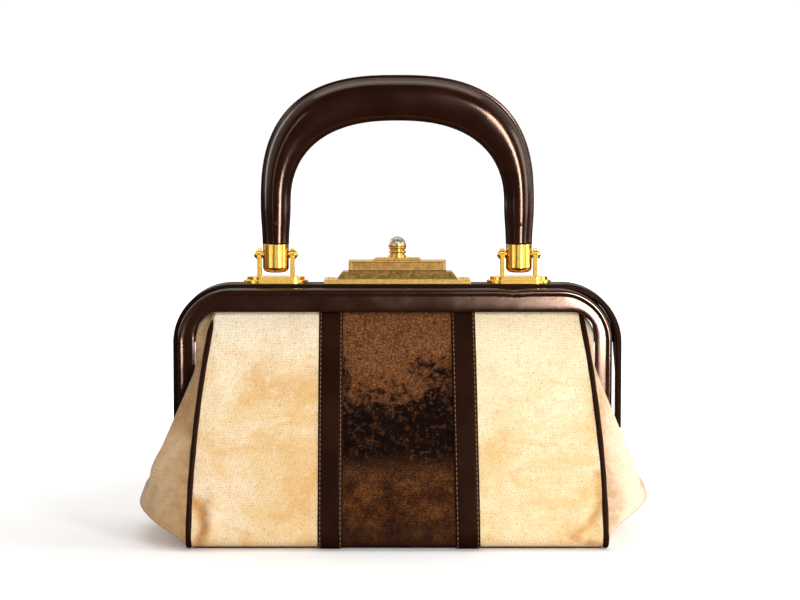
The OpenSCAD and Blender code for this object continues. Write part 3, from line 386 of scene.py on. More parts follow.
# Body profile by length along it from the middle of the base; front is negative
cornerY = body["baseD"] / 2 - body["baseR"]
cornerZ = body["baseZ"] + body["baseR"]
footTurn = math.radians(90 + body["lean"])
footDir = np.array([math.sin(footTurn), -math.cos(footTurn)])
footPoint = np.array([cornerY, cornerZ]) + body["baseR"] * footDir
rise = np.array([body["mouthHalf"], body["top"]]) - footPoint
panelR = rise @ rise / (2 * (rise @ -footDir))
panelCentre = footPoint - panelR * footDir
panelTurn = 2 * math.asin(np.linalg.norm(rise) / (2 * panelR))
cornerLength = body["baseR"] * footTurn
topLength = cornerY + cornerLength + panelR * panelTurn


def wallPoint(s):
    # flat base, then a round corner, then the crowned panel; gives Y, Z and the outward normal
    a = np.abs(s)
    turn = np.clip((a - cornerY) / body["baseR"], 0, footTurn)
    climb = np.clip((a - cornerY - cornerLength) / panelR, 0, panelTurn)
    angle = turn + climb
    onPanel = climb > 0
    radius = np.where(onPanel, panelR, body["baseR"])
    y = np.where(onPanel, panelCentre[0], np.minimum(a, cornerY)) + np.where(a > cornerY, radius * np.sin(angle), 0)
    z = np.where(onPanel, panelCentre[1], cornerZ) - radius * np.cos(angle)
    return np.sign(s) * y, z, np.sign(s) * np.sin(angle), -np.cos(angle)


def edgeX(z):
    # half width of the body at the seams of the gussets
    return (body["baseW"] - (body["baseW"] - body["mouthW"]) * (z / body["top"]) ** 2) / 2


def halfDepth(z):
    low = cornerY + np.sqrt(np.maximum(0, body["baseR"] ** 2 - (z - cornerZ) ** 2))
    high = panelCentre[0] + np.sqrt(panelR ** 2 - (z - panelCentre[1]) ** 2)
    return np.where(z < footPoint[1], low, high)


# Piping: a round leather cord in each seam; the left one runs out to a point below the frame
piping = dict(tipZ=125.5, tipRun=9, tipShape=0.8, sink=0.75, thin=0.1, full=0.9, startRun=9, startR=0.25,
              startShape=0.6, uneven=0.04, wave=3.1, sides=14, frontRows=110, baseRows=40, rearRows=90)


def seamR(z, side):
    tip = np.clip((piping["tipZ"] - z) / piping["tipRun"], 0, 1) ** piping["tipShape"]
    return body["pipingR"] * np.where(side < 0, tip, 1)


# Middles of the straps: in front at the base, how far they move by the top, and at the back
strapAt = dict(left=-36.5, leftLean=-0.3, right=38.6, rightLean=-2.2, rear=37.5)


def strapX(side, s, z):
    up = z / body["top"]
    right, left = (strapAt[key] + strapAt[key + "Lean"] * up for key in ("right", "left"))
    return np.where(s < 0, np.where(side > 0, right, left), side * strapAt["rear"])


def wallLines(count):
    # rows along the body, closer together round the corners
    low = np.linspace(0, cornerY, 14)[:-1]
    turn = np.linspace(cornerY, cornerY + cornerLength, 12)[:-1]
    high = np.linspace(cornerY + cornerLength, topLength, count)
    half = np.concatenate([low, turn, high])
    return np.concatenate([-half[::-1], half[1:]])


def wallGrid(xLow, xHigh, s, cols, lift, thick=0.0, floorGap=0.3):
    # a grid of points on the body, lifted off it by a rule less a thickness, and kept above the floor
    y, z, ny, nz = wallPoint(s)
    u = np.linspace(0, 1, cols)
    x = xLow[:, None] + (xHigh - xLow)[:, None] * u
    out = lift(x, s[:, None], z[:, None], u[None, :]) - thick
    return np.stack([x, y[:, None] + ny[:, None] * out, np.maximum(z[:, None] + nz[:, None] * out, floorGap)], -1)


def dent(x, z, atX, atZ, wide, high, slant=0.0):
    # a soft hollow, 1 at its middle
    return np.exp(-((x - atX - slant * (z - atZ)) / wide) ** 2 - ((z - atZ) / high) ** 2)


# Panels: soft slack in the cloth, and seams that pull the edges in and under the piping
panel = dict(rows=90, cols=64, thick=1.6, gap=0.1, out=0.3, tuck=0.62, wave=0.35, ripple=0.6,
             waves=((13, 21), (-29, 17), (37, 8.5)), seam=0.5, seamWidth=4.0, width=62, fadeLow=12, fadeTop=14, baseZ=2)
# Dents and ridges at the lower front corners: depth, X and Z, half sizes, slant
hollows = [(-2.6, -107.5, 17, 3.2, 9, 0.1), (1.0, -101, 19, 4, 11, 0.1),
           (-2.0, 106.5, 15, 3.6, 10, 0.25), (0.9, 99, 16, 5, 10, 0.3)]
# Stain and painted shade in the creases there: half width and path as X and Z
creases = [(4.5, [(109, 41), (110.5, 25), (105, 15), (95.5, 7.5), (110, 2)]),
           (6.0, [(-110.5, 27), (-106, 21), (-104.5, 12), (-108, 3)])]
# how strong the crease stain and painted shade are, and the darker foot
stainAndShadeMarks = dict(crease=0.95, foot=0.15, footZ=7)
# The crushed band of the brown panel: a line that steps up on the right, thinning out upwards
crushed = dict(line=77, step=10, stepX=8, stepRun=14, thin=0.45, thinUp=24, thinRun=26, fullUp=5, fullRun=13)
# Dark tufts above it: strength, X and Z, half sizes
tufts = [(0.5, 11, 98, 7, 4), (0.45, 27, 95, 9, 7), (0.55, -31, 95, 6, 9), (0.25, -22, 85, 8, 5)]


def panelLift(x, s, z, u):
    long, cross, short = (np.sin(x / overX + z / overZ) for overX, overZ in panel["waves"])
    wave = panel["wave"] * (long * cross + panel["ripple"] * short)
    near = np.minimum(u, 1 - u) * panel["width"]
    pull = -panel["seam"] * np.exp(-near / panel["seamWidth"])
    hollow = sum(depth * dent(x, z, *shape) for depth, *shape in hollows)
    fade = eased((np.abs(s) - cornerY) / panel["fadeLow"]) * eased((topLength - np.abs(s)) / panel["fadeTop"])
    return (wave * fade + pull + np.where(s < 0, hollow, 0)) * np.where(z > panel["baseZ"], 1, 0)


def nearPath(x, z, path, width):
    # 1 on a path of straight runs, fading to 0 at the given distance
    away = np.full(np.broadcast(x, z).shape, np.inf)
    for (x0, z0), (x1, z1) in zip(path[:-1], path[1:]):
        t = np.clip(((x - x0) * (x1 - x0) + (z - z0) * (z1 - z0)) / ((x1 - x0) ** 2 + (z1 - z0) ** 2), 0, 1)
        away = np.minimum(away, np.hypot(x - x0 - t * (x1 - x0), z - z0 - t * (z1 - z0)))
    return eased(1 - away / width)


def stainAndShadeValue(points):
    # stain and painted shade along the creases in front, and a little darker along the foot
    x, y, z = np.moveaxis(points, -1, 0)
    marks = stainAndShadeMarks["crease"] * sum(nearPath(x, z, path, width) for width, path in creases)
    return np.where(y < 0, marks, 0) + stainAndShadeMarks["foot"] * eased(1 - z / stainAndShadeMarks["footZ"])


def crushValue(points):
    # 0 in the paler top, 1 in the dark band
    x, _, z = np.moveaxis(points, -1, 0)
    line = crushed["line"] + crushed["step"] * eased((x - crushed["stepX"]) / crushed["stepRun"])
    thin = crushed["thin"] * eased((line + crushed["thinUp"] - z) / crushed["thinRun"])
    full = (1 - crushed["thin"]) * eased((line + crushed["fullUp"] - z) / crushed["fullRun"])
    return np.clip(thin + full + sum(k * dent(x, z, *shape) for k, *shape in tufts), 0, 1)


lines = wallLines(panel["rows"])
_, lineZ, _, _ = wallPoint(lines)
leftEdge, rightEdge = (edgeX(lineZ) + panel["out"] - panel["tuck"] * seamR(lineZ, k) for k in (-1, 1))
leftStrap, rightStrap = (strapX(k, lines, lineZ) for k in (-1, 1))
gap = panel["gap"]
spots = [("leftPanel", "left_panel", -leftEdge, leftStrap - gap, creamVelvet, "cream_velvet", "stainAndShade", stainAndShadeValue),
         ("rightPanel", "right_panel", rightStrap + gap, rightEdge, palerVelvet, "cream_velvet", "stainAndShade", stainAndShadeValue),
         ("centrePanel", "centre_panel", leftStrap + gap, rightStrap - gap, brownVelvet, "brown_velvet", "crush",
          crushValue)]
soft = []
for name, node, low, high, material, slotName, mark, rule in spots:
    outer = wallGrid(low, high, lines, panel["cols"], panelLift)
    inner = wallGrid(low, high, lines, panel["cols"], panelLift, panel["thick"])
    piece = shellPiece(name, outer, inner, material)
    paint(piece, mark, outer, inner, rule)
    declare(piece, node)
    soft.append(piece)
print("stage: panels made")

# Straps: padded leather with a pressed stitch line near each edge, and stitches of thread in it
strap = dict(thick=1.15, foot=0.1, back=0.05, edge=1.3, stitchIn=1.2, groove=0.28, grooveHalf=0.55, lap=0.2, cols=44,
             cornerRows=16, rows=70)
stitch = dict(pitch=2.7, length=2.1, r=0.28, sink=0.35, rise=0.32, steps=7, sides=7, endGap=1)


def strapLift(x, s, z, u):
    off = np.minimum(u, 1 - u) * body["strapW"]
    roll = np.sqrt(np.clip(1 - (1 - np.clip(off / strap["edge"], 0, 1)) ** 2, 0, 1))
    press = strap["groove"] * np.exp(-((off - strap["stitchIn"]) / strap["grooveHalf"]) ** 2)
    return strap["foot"] + (strap["thick"] - strap["foot"]) * roll - press + 0 * x


def strapBack(x, s, z, u):
    return strap["back"] + 0 * x


def stitchPiece(name, side, end, start, stop):
    # short capsules of thread, each along the strap and sunk at its two ends
    sides = stitch["sides"]
    count = int((stop - start) / stitch["pitch"])
    middle = start + (np.arange(count) + 0.5) * stitch["pitch"]
    t = np.linspace(-1, 1, stitch["steps"])
    s = end * (middle[:, None] + t * stitch["length"] / 2)
    y, z, ny, nz = wallPoint(s)
    out = strap["thick"] - stitch["sink"] + stitch["rise"] * np.sqrt(np.clip(1 - t * t, 0, 1))
    r = (stitch["r"] * np.sqrt(np.clip(1.02 - t ** 4, 0.05, 1)))[None, :, None]
    angle = np.arange(sides) * 2 * np.pi / sides
    rings = []
    for edge in (-1, 1):
        x = strapX(side, s, z) + edge * (body["strapW"] / 2 - strap["stitchIn"])
        rings.append(np.stack([x[..., None] + r * np.cos(angle),
                               (y + ny * out)[..., None] + ny[..., None] * r * np.sin(angle),
                               (z + nz * out)[..., None] + nz[..., None] * r * np.sin(angle)], -1))
    rings = np.concatenate(rings)
    n = stitch["steps"] * sides
    quads = np.concatenate([gridQuads(stitch["steps"], sides, k * n, True) for k in range(len(rings))])
    ends = [range(k * n, k * n + sides) for k in range(len(rings))]
    ends += [range((k + 1) * n - sides, (k + 1) * n) for k in range(len(rings))]
    return makePiece(name, rings, quads, thread, ends)


strapLines = np.concatenate([np.linspace(cornerY + strap["lap"], cornerY + cornerLength, strap["cornerRows"])[:-1],
                             np.linspace(cornerY + cornerLength, topLength, strap["rows"])])
for side, end, name in ((-1, -1, "frontLeft"), (1, -1, "frontRight"), (-1, 1, "rearLeft"), (1, 1, "rearRight")):
    node = name.replace("L", "_l").replace("R", "_r") + "_strap"
    s = end * strapLines
    _, z, _, _ = wallPoint(s)
    low, high = (strapX(side, s, z) + k * body["strapW"] / 2 for k in (-1, 1))
    outer = wallGrid(low, high, s, strap["cols"], strapLift)
    inner = wallGrid(low, high, s, strap["cols"], strapBack)
    piece = shellPiece(name + "Strap", outer, inner, leather)
    declare(piece, node)
    stitches = stitchPiece(name + "Stitches", side, end, cornerY + stitch["endGap"], topLength - stitch["endGap"])
    soft += [piece, stitches]
print("stage: straps and stitches made")

# Gussets: a low belly, with folds in front of and behind the frame's legs
belly = dict(z0=1.4, top=106.2, dome=0.42, peak=0.8, taper=1.15, soften=0.03, ease=0.04, foldLow=28, foldHigh=54,
             foldHalf=20, room=5, swell=0.09, swellShape=0.7, tuck=0.45, lip=0.45, inJaw=0.6, thick=1.6, rows=84,
             half=30, rowShape=1.25)
gather = dict(depth=0.35, perMm=1.5, low=85, run=30)
wrinkle = dict(depth=0.4, overZ=6.5, overY=9, crossY=14, low=6, lowRun=16, high=40, highRun=25)
# Painted shade on the gussets: its strength at the seams, in the folds on each side, at the mouth and under the belly
grimeAndShade = dict(seam=0.85, seamWidth=3.0, left=1.0, right=0.45, foldZ=56, foldRun=30, mouth=0.7, mouthZ=98, mouthRun=16,
             foot=0.12, footZ=14, footRun=12, most=0.8)
gussets = [dict(name="leftGusset", node="left_gusset", side=-1, reach=145, tip=20, rise=1.35, material=shadedSideVelvet),
           dict(name="rightGusset", node="right_gusset", side=1, reach=140.4, tip=24, rise=2.8, material=litSideVelvet)]


def valleyX(z, side):
    # between the folds the cloth stays just inside the jaw's inner outline, corners included
    up = np.clip((z - jaw["low"] + jaw["innerR"]) / jaw["innerR"], 0, 0.8)
    corner = jaw["innerR"] * (1 - np.sqrt(1 - up * up))
    return jaw["innerHalf"] + side * jaw["offset"] - corner - belly["inJaw"]


def gussetX(y, z, side, reach, tip, rise):
    sewn = edgeX(z) + belly["tuck"] * seamR(z, side) + belly["lip"]
    low = np.clip((z - belly["z0"]) / (tip - belly["z0"]), 0, 1)
    high = np.clip((z - tip) / (belly["top"] - tip), 0, 1)
    full = reach - edgeX(tip) - belly["tuck"] * body["pipingR"] - belly["lip"]
    # above the tip the outline runs almost straight up to the frame
    taper = 1 + belly["soften"] - np.hypot(belly["taper"] * high, belly["soften"])
    bulge = full * np.where(z < tip, (1 - (1 - low) ** 2) ** rise, (taper + np.hypot(taper, belly["ease"])) / 2)
    depth = halfDepth(z)
    domed = sewn + bulge * np.maximum(0, 1 - (y / depth) ** 2) ** belly["dome"]
    inside = np.minimum(belly["foldHalf"], depth - belly["room"])
    t = np.clip((np.abs(y) - inside) / (depth - inside), 0, 1)
    crest = bulge * np.sin(np.pi * t ** belly["peak"])
    folded = valleyX(z, side) + (sewn - valleyX(z, side)) * eased(t) + crest
    turned = eased((z - belly["foldLow"]) / (belly["foldHigh"] - belly["foldLow"]))
    # the outline stays straight where the belly turns into the folds
    x = domed + (folded - domed) * turned
    x = x + belly["swell"] * crest * (4 * turned * (1 - turned)) ** belly["swellShape"]
    # gathers at the mouth and slack wrinkles on the belly, none at the seams
    free = np.clip(1 - (y / depth) ** 2, 0, 1) ** 0.5
    gathers = gather["depth"] * np.sin(y * gather["perMm"]) * eased((z - gather["low"]) / gather["run"])
    wrinkles = wrinkle["depth"] * np.sin(z / wrinkle["overZ"] + y / wrinkle["overY"] + side)
    wrinkles = wrinkles * np.sin(y / wrinkle["crossY"] + side * 2) * eased((z - wrinkle["low"]) / wrinkle["lowRun"])
    wrinkles = wrinkles * (1 - eased((z - wrinkle["high"]) / wrinkle["highRun"]))
    return x + free * (gathers + wrinkles)


def gussetMarks(points):
    # painted shade: the cloth darkens towards its seams, up in the folds, most on the left, and down under the belly
    x, y, z = np.moveaxis(points, -1, 0)
    seam = grimeAndShade["seam"] * np.exp(-np.maximum(0, halfDepth(z) - np.abs(y)) / grimeAndShade["seamWidth"])
    fold = np.where(x < 0, grimeAndShade["left"], grimeAndShade["right"]) * eased((z - grimeAndShade["foldZ"]) / grimeAndShade["foldRun"])
    fold = fold * (1 - grimeAndShade["mouth"] * eased((z - grimeAndShade["mouthZ"]) / grimeAndShade["mouthRun"]))
    foot = grimeAndShade["foot"] * eased((grimeAndShade["footZ"] - z) / grimeAndShade["footRun"])
    return np.clip(seam + fold + foot, 0, grimeAndShade["most"])


for look in gussets:
    side = look["side"]
    up = np.linspace(0, 1, belly["rows"])[:, None] ** belly["rowShape"]
    z = belly["z0"] + (body["top"] - belly["z0"]) * up
    depth = halfDepth(z)
    inside = np.minimum(belly["foldHalf"], depth - belly["room"])
    v = np.linspace(0, 1, belly["half"])[None, :]
    positive = np.concatenate([inside * v, inside + (depth - inside) * v[:, 1:]], 1)
    y = np.concatenate([-positive[:, ::-1], positive[:, 1:]], 1)
    z = np.broadcast_to(z, y.shape)
    outer = np.stack([side * gussetX(y, z, side, look["reach"], look["tip"], look["rise"]), y, z], -1)
    inner = outer - np.array([side * belly["thick"], 0, 0])
    piece = shellPiece(look["name"], outer, inner, look["material"])
    paint(piece, "stainAndShade", outer, inner, gussetMarks)
    declare(piece, look["node"])
    soft.append(piece)
print("stage: gussets made")

# Piping in the seams, thinner at its front end
for name, node, side in (("leftPiping", "left_piping", -1), ("rightPiping", "right_piping", 1)):
    s = np.concatenate([np.linspace(-topLength, -cornerY, piping["frontRows"])[:-1],
                        np.linspace(-cornerY, cornerY, piping["baseRows"])[:-1],
                        np.linspace(cornerY, topLength, piping["rearRows"])])
    y, z, ny, nz = (part[:, None] for part in wallPoint(s))
    angle = np.arange(piping["sides"]) * 2 * np.pi / piping["sides"]
    start = np.clip((s + topLength) / piping["startRun"], piping["startR"], 1) ** piping["startShape"]
    uneven = 1 + piping["uneven"] * np.sin(s / piping["wave"] + side)
    r = (piping["thin"] + piping["full"] * seamR(z[:, 0], side) * start * uneven)[:, None]
    out = r * np.sin(angle) - piping["sink"]
    rings = np.stack([side * edgeX(z) + r * np.cos(angle), y + ny * out, z + nz * out], -1)
    piece = tubePiece(name, rings, leather)
    declare(piece, node)
    soft.append(piece)

# Lining: the two walls and base in one length, and an end wall on each side
lined = dict(inset=2.0, under=3.0, overBoard=2.6, boardZ=4, ripple=0.25, rippleX=9, rippleS=12, thick=0.6, rows=40,
             cols=60, endLow=7, endTop=0.5, endIn=3.6, endRows=50, endCols=30, leanZ=85, leanRun=40, room=2.6,
             endRipple=0.3, endWave=5)


def liningLift(x, s, z, u):
    ripple = lined["ripple"] * np.sin(x / lined["rippleX"]) * np.sin(s / lined["rippleS"])
    return ripple - lined["under"] - np.where(z < lined["boardZ"], lined["overBoard"], 0)


s = wallLines(lined["rows"])
_, z, _, _ = wallPoint(s)
ends = edgeX(z) - lined["inset"]
outer = wallGrid(-ends, ends, s, lined["cols"], liningLift)
inner = wallGrid(-ends, ends, s, lined["cols"], liningLift, lined["thick"])
lining = shellPiece("liningWalls", outer, inner, liningCloth)
declare(lining, "lining")
soft.append(lining)
for name, side in (("liningLeftEnd", -1), ("liningRightEnd", 1)):
    z = np.linspace(lined["endLow"], body["top"] - lined["endTop"], lined["endRows"])[:, None]
    y = (halfDepth(z) - lined["endIn"]) * np.linspace(-1, 1, lined["endCols"])[None, :]
    # towards the mouth the end wall leans out to meet the gusset
    bow = np.sqrt(np.maximum(0, 1 - (y / halfDepth(z)) ** 2))
    upright = edgeX(z) - lined["inset"]
    leaning = eased((z - lined["leanZ"]) / lined["leanRun"])
    lean = np.maximum(0, valleyX(z, side) - lined["room"] - upright) * leaning * bow
    x = side * (upright + lean) + lined["endRipple"] * np.sin(y / lined["endWave"]) * (1 - leaning)
    outer = np.stack([x, y, np.broadcast_to(z, y.shape)], -1)
    piece = shellPiece(name, outer, outer - np.array([side * lined["thick"], 0, 0]), liningCloth)
    soft.append(piece)
print("stage: piping and lining made")

# Frame covers: a padded section swept along an arch between an outer and an inner outline
steps = dict(leg=40, corner=30, over=120)


def archLine(half, top, r, low, leg=steps["leg"]):
    # points up the left leg, round its corner, along the top and down the right leg
    up = np.stack([np.full(leg, -half), np.linspace(low, top - r, leg)], -1)
    a = np.linspace(np.pi, np.pi / 2, steps["corner"] + 2)[1:-1]
    turn = np.stack([r - half + r * np.cos(a), top - r + r * np.sin(a)], -1)
    over = np.stack([np.linspace(r - half, half - r, steps["over"]), np.full(steps["over"], top)], -1)
    left = np.concatenate([up, turn])
    right = left[::-1] * np.array([-1, 1])
    return np.concatenate([left, over, right])


def sweepPiece(name, outerLine, innerLine, section, shiftX, material):
    # section gives inward distance and depth for each point of the loop, from the local width and height
    step = innerLine - outerLine
    width = np.linalg.norm(step, axis=1, keepdims=True)
    inward = step / width
    w, y = section(width, outerLine[:, 1:2])
    x = outerLine[:, :1] + inward[:, :1] * w + shiftX
    z = outerLine[:, 1:2] + inward[:, 1:2] * w
    return tubePiece(name, np.stack([x, np.broadcast_to(y, x.shape), z], -1), material)


def roundCorner(cx, cy, r, a0, a1, count):
    a = np.radians(np.linspace(a0, a1, count))
    return [(cx + r * math.cos(t), cy + r * math.sin(t)) for t in a]


# Front jaw: slim rolled edge round the outside, a shallow groove, a softly padded face and a rim behind it
jawLook = dict(roll=0.31, groove=1.2, sag=0.7, sagX=66, sagHalf=6)


def jawSection(width, z):
    # each table holds inward places and depths; those of the roll and the face scale with the width
    f, b, n = jaw["front"], jaw["back"], len(width)
    roll = jawLook["roll"] * width
    faceStart = jawLook["groove"] * roll
    rim = np.array([(0.8, b), (0.2, b - 0.3), (0.0, b - 1), (0.0, b - 5), (0.0, f + 4), (0.0, f + 2.4)])
    turn = np.array(roundCorner(0.5, 0.5, 0.5, 180, 285, 10)
                    + [(0.76, 0.04), (0.88, 0.09), (0.98, 0.13), (1.1, 0.13)])
    face = np.array([(0.0, 0.5), (0.05, 0.48), (0.15, 0.44), (0.3, 0.4), (0.5, 0.38), (0.7, 0.4), (0.84, 0.48),
                     (0.92, 0.64), (0.97, 0.95), (1.0, 1.4), (1.0, 2.3), (0.99, 2.7), (0.95, 3.0)])
    back = np.array([(4.2, f + 3.0), (3.2, f + 3.0), (3.0, f + 3.3), (3.0, b - 0.8), (2.8, b - 0.2), (2.2, b)])
    w = np.concatenate([np.tile(rim[:, 0], (n, 1)), roll * turn[:, 0][None, :],
                        faceStart + (width - faceStart) * face[:, 0][None, :], np.tile(back[:, 0], (n, 1))], 1)
    y = np.concatenate([np.tile(rim[:, 1], (n, 1)), f + roll * turn[:, 1][None, :],
                        np.tile(f + face[:, 1], (n, 1)), np.tile(back[:, 1], (n, 1))], 1)
    return w, y


jawOuter = archLine(jaw["half"], jaw["top"], jaw["r"], jaw["legEnd"])
jawInner = archLine(jaw["innerHalf"], jaw["low"], jaw["innerR"], jaw["legEnd"])
# the roll sags a little at an old crease right of the middle
sag = jawLook["sag"] * np.exp(-((jawOuter[:, 0] - jawLook["sagX"]) / jawLook["sagHalf"]) ** 2)
jawOuter[:, 1] -= sag * (jawOuter[:, 1] > jaw["low"])
frontCover = sweepPiece("frontCover", jawOuter, jawInner, jawSection, jaw["offset"], jawLeather)
declare(frontCover, "front_frame_cover", "front_jaw")


# Rear hoop: a strip with rounded edges whose legs narrow towards the hinges
def hoopSection(width, z):
    n, narrow = len(width), eased((z - hoop["neck"]) / (hoop["taperTop"] - hoop["neck"]))
    back = hoop["footBack"] + (hoop["back"] - hoop["footBack"]) * narrow
    near = np.array(roundCorner(1.4, 1.4, 1.4, 180, 270, 7) + [(2.0, 0.0)]
                    + roundCorner(hoop["thick"] - 1.2, 1.2, 1.2, 270, 360, 6))
    far = near[::-1]
    w = np.concatenate([np.tile(near[:, 0], (n, 1)), np.tile(far[:, 0], (n, 1))], 1)
    y = np.concatenate([hoop["front"] + np.tile(near[:, 1], (n, 1)), back - far[:, 1][None, :]], 1)
    return w, y


hoopOuter = archLine(hoop["half"], hoop["top"], hoop["r"], hoop["legEnd"])
hoopInner = archLine(*(hoop[key] - hoop["thick"] for key in ("half", "top", "r")), hoop["legEnd"])
rearCover = sweepPiece("rearCover", hoopOuter, hoopInner, hoopSection, 0, leather)
declare(rearCover, "rear_frame_cover", "bag")

# Rear facing: a flat padded strip inside the hoop at the back
facing = dict(half=122.5, top=137.5, r=29.5, low=106.6, leg=4)


def facingSection(width, z):
    shape = np.array([(0.0, -2.9), (0.0, -0.6), (0.03, -0.15), (0.12, 0.05), (0.35, 0.2), (0.65, 0.2), (0.88, 0.0),
                      (0.97, -0.4), (1.0, -1.0), (1.0, -2.3), (0.97, -2.9), (0.5, -3.0)])
    return width * shape[:, 0][None, :], np.tile(hoop["back"] + shape[:, 1], (len(width), 1))


facingOuter = archLine(facing["half"], facing["top"], facing["r"], facing["low"], facing["leg"])
facingInner = archLine(jaw["innerHalf"], jaw["low"], jaw["innerR"], facing["low"], facing["leg"])
rearFacing = sweepPiece("rearFacing", facingOuter, facingInner, facingSection, 0, leather)
declare(rearFacing, "rear_facing", "bag")

# Sole: a flat leather piece with eased edges
flatSole = dict(halfX=111.3, halfY=50.7, thick=1.15, roll=0.35, edge=0.03, count=40)
u = np.linspace(-1, 1, flatSole["count"])
outward = np.maximum(np.abs(u)[:, None], np.abs(u)[None, :])
roll = flatSole["roll"] * np.clip((outward - 1 + flatSole["edge"]) / flatSole["edge"], 0, 1) ** 2
x, y = np.meshgrid(u * flatSole["halfX"], u * flatSole["halfY"], indexing="ij")
sole = shellPiece("baseSole", np.stack([x, y, roll], -1), np.stack([x, y, flatSole["thick"] + 0 * x], -1), leather)
declare(sole, "base_sole", "bag")
print("stage: frame covers made")

# Handle: leather wrapped round a core, its edges sewn into a welt along the outer curve
gripLook = dict(outer=2 / 2.65, inner=2 / 2.4, archRows=150, legRows=24, seam=16, around=46, square=0.9)
weltLine = np.array([(0.0, -1.5), (0.5, -1.3), (1.2, -1.25), (1.65, -1.0), (1.8, -0.5),
                     (1.8, 0.5), (1.65, 1.0), (1.2, 1.25), (0.5, 1.3), (0.0, 1.5)])


def archCurve(half, height, share):
    a = np.linspace(np.pi, 0, gripLook["archRows"])
    return np.stack([half * np.sign(np.cos(a)) * np.abs(np.cos(a)) ** share,
                     handle["spring"] + height * np.abs(np.sin(a)) ** share], -1)


def gripSection(width, z):
    # rounded wrap, with the welt standing up in the middle of its outer side
    crown = width / 2 - handle["welt"]
    wider = np.clip((width - handle["endW"]) / (handle["topW"] - handle["endW"]), 0, 1)
    depth = handle["endD"] + (handle["topD"] - handle["endD"]) * wider
    a = np.radians(np.linspace(gripLook["seam"], 360 - gripLook["seam"], gripLook["around"]))[None, :]
    side = np.sign(np.cos(a)) * np.abs(np.cos(a)) ** gripLook["square"]
    u = np.concatenate([np.where(np.cos(a) > 0, crown, width / 2) * side, crown + weltLine[:, 0][None, :]], 1)
    v = np.concatenate([depth / 2 * np.sin(a), np.tile(weltLine[:, 1], (len(width), 1))], 1)
    return width / 2 - u, handle["y"] + v


archRise = handle["top"] - handle["spring"]
outerArch = archCurve(handle["x"] + handle["legW"] / 2, archRise, gripLook["outer"])
innerArch = archCurve(handle["x"] - handle["legW"] / 2, archRise - handle["topW"], gripLook["inner"])
t = np.linspace(0, 1, gripLook["legRows"])[:-1]
legHalf = (handle["endW"] + (handle["legW"] - handle["endW"]) * eased(t)) / 2
legZ = handle["foot"] + (handle["spring"] - handle["foot"]) * t
legOuter, legInner = (np.stack([-handle["x"] + k * legHalf, legZ], -1) for k in (-1, 1))
gripOuter, gripInner = (np.concatenate([leg, arch, leg[::-1] * np.array([-1, 1])])
                        for leg, arch in ((legOuter, outerArch), (legInner, innerArch)))
grip = sweepPiece("handleGrip", gripOuter, gripInner, gripSection, 0, handleLeather)
declare(grip, "handle_grip", "handle")

# A small domed tack on the front of each handle leg, sunk in the wrap
tack = dict(r=1.4, rise=0.9, front=7.6, z=174.5, rings=7, sides=20)
t = (np.arange(tack["rings"]) / tack["rings"] * np.pi / 2)[:, None]
a = np.arange(tack["sides"])[None, :] * 2 * np.pi / tack["sides"]
tackY = handle["y"] - tack["front"] - tack["rise"] * np.sin(t) + 0 * a
domes = [np.stack([x + tack["r"] * np.cos(t) * np.cos(a), tackY, tack["z"] + tack["r"] * np.cos(t) * np.sin(a)], -1)
         for x in (-handle["x"], handle["x"])]
n = tack["rings"] * tack["sides"]
quads = np.concatenate([gridQuads(tack["rings"], tack["sides"], k * n, True) for k in (0, 1)])
caps = [range(k * n + j, k * n + j + tack["sides"]) for k in (0, 1) for j in (0, n - tack["sides"])]
tacks = makePiece("handleTacks", np.concatenate(domes), quads, handleLeather, caps)
declare(tacks, "handle_tacks", "handle")
print("stage: handle made")

# Return spring of the latch: a steel coil
coil = dict(r=1.6, wire=0.6, turns=7, perTurn=20, sides=8, travel=5)
low, high = (np.array(p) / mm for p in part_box("latch_spring"))
middle = (low + high) / 2
wireR = coil["wire"] / 2
t = np.linspace(0, 1, coil["turns"] * coil["perTurn"] + 1)[:, None]
a = 2 * np.pi * coil["turns"] * t
b = np.arange(coil["sides"])[None, :] * 2 * np.pi / coil["sides"]
out = coil["r"] + wireR * np.cos(b)
x = low[0] + wireR + (high[0] - low[0] - coil["wire"]) * t - wireR * np.sin(b)
rings = np.stack([x, middle[1] + out * np.cos(a), middle[2] + out * np.sin(a)], -1)
spring = tubePiece("latchSpring", rings, steel)
declare(spring, "latch_spring", "bag")
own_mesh(spring)
print("stage: latch spring made")

# The soft pieces have their placement baked into their meshes
for piece in soft:
    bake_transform(piece)

# Finishes of the CAD nodes that show
finishes = dict(polished_brass=goldBrass, aged_brass=agedBrass, frame_steel=steel, board=boardFibre,
                dark_leather=leather, cream_velvet=creamVelvet, brown_velvet=brownVelvet, lining_cloth=liningCloth)
for entry in frame["record"]["subparts"]:
    mesh = frame["nodes"][entry["node"]].data
    mesh.materials.clear()
    mesh.materials.append(finishes[entry["material_slot"]])

# Worn knob: bare silvery metal on the dome, gold left in the grooves
knobBrass, add, shader, place = newMaterial("worn knob brass")
height = add("SeparateXYZ", {0: place})[2]
worn = add("TexNoise", {"Vector": place, "Scale": 0.8, "Detail": 4, "Roughness": 0.55})[0]
worn = add("Math", {0: worn, 1: 1.6, 2: height}, **timesPlus)[0]
worn = add("MapRange", {0: worn, 1: 163.6, 2: 164.4}, **smooth)[0]
tone = add("Mix", {0: worn, 6: linear("#d2a352"), 7: linear("#b5a898")}, **rgb)[2]
fillInputs(shader, {"Base Color": tone, "Metallic": 1.0, "Roughness": 0.28})
frame["nodes"]["clasp_knob"].data.materials[0] = knobBrass
frame["nodes"]["clasp_cap"].data.materials[0] = capBrass
print("stage: finishes set")

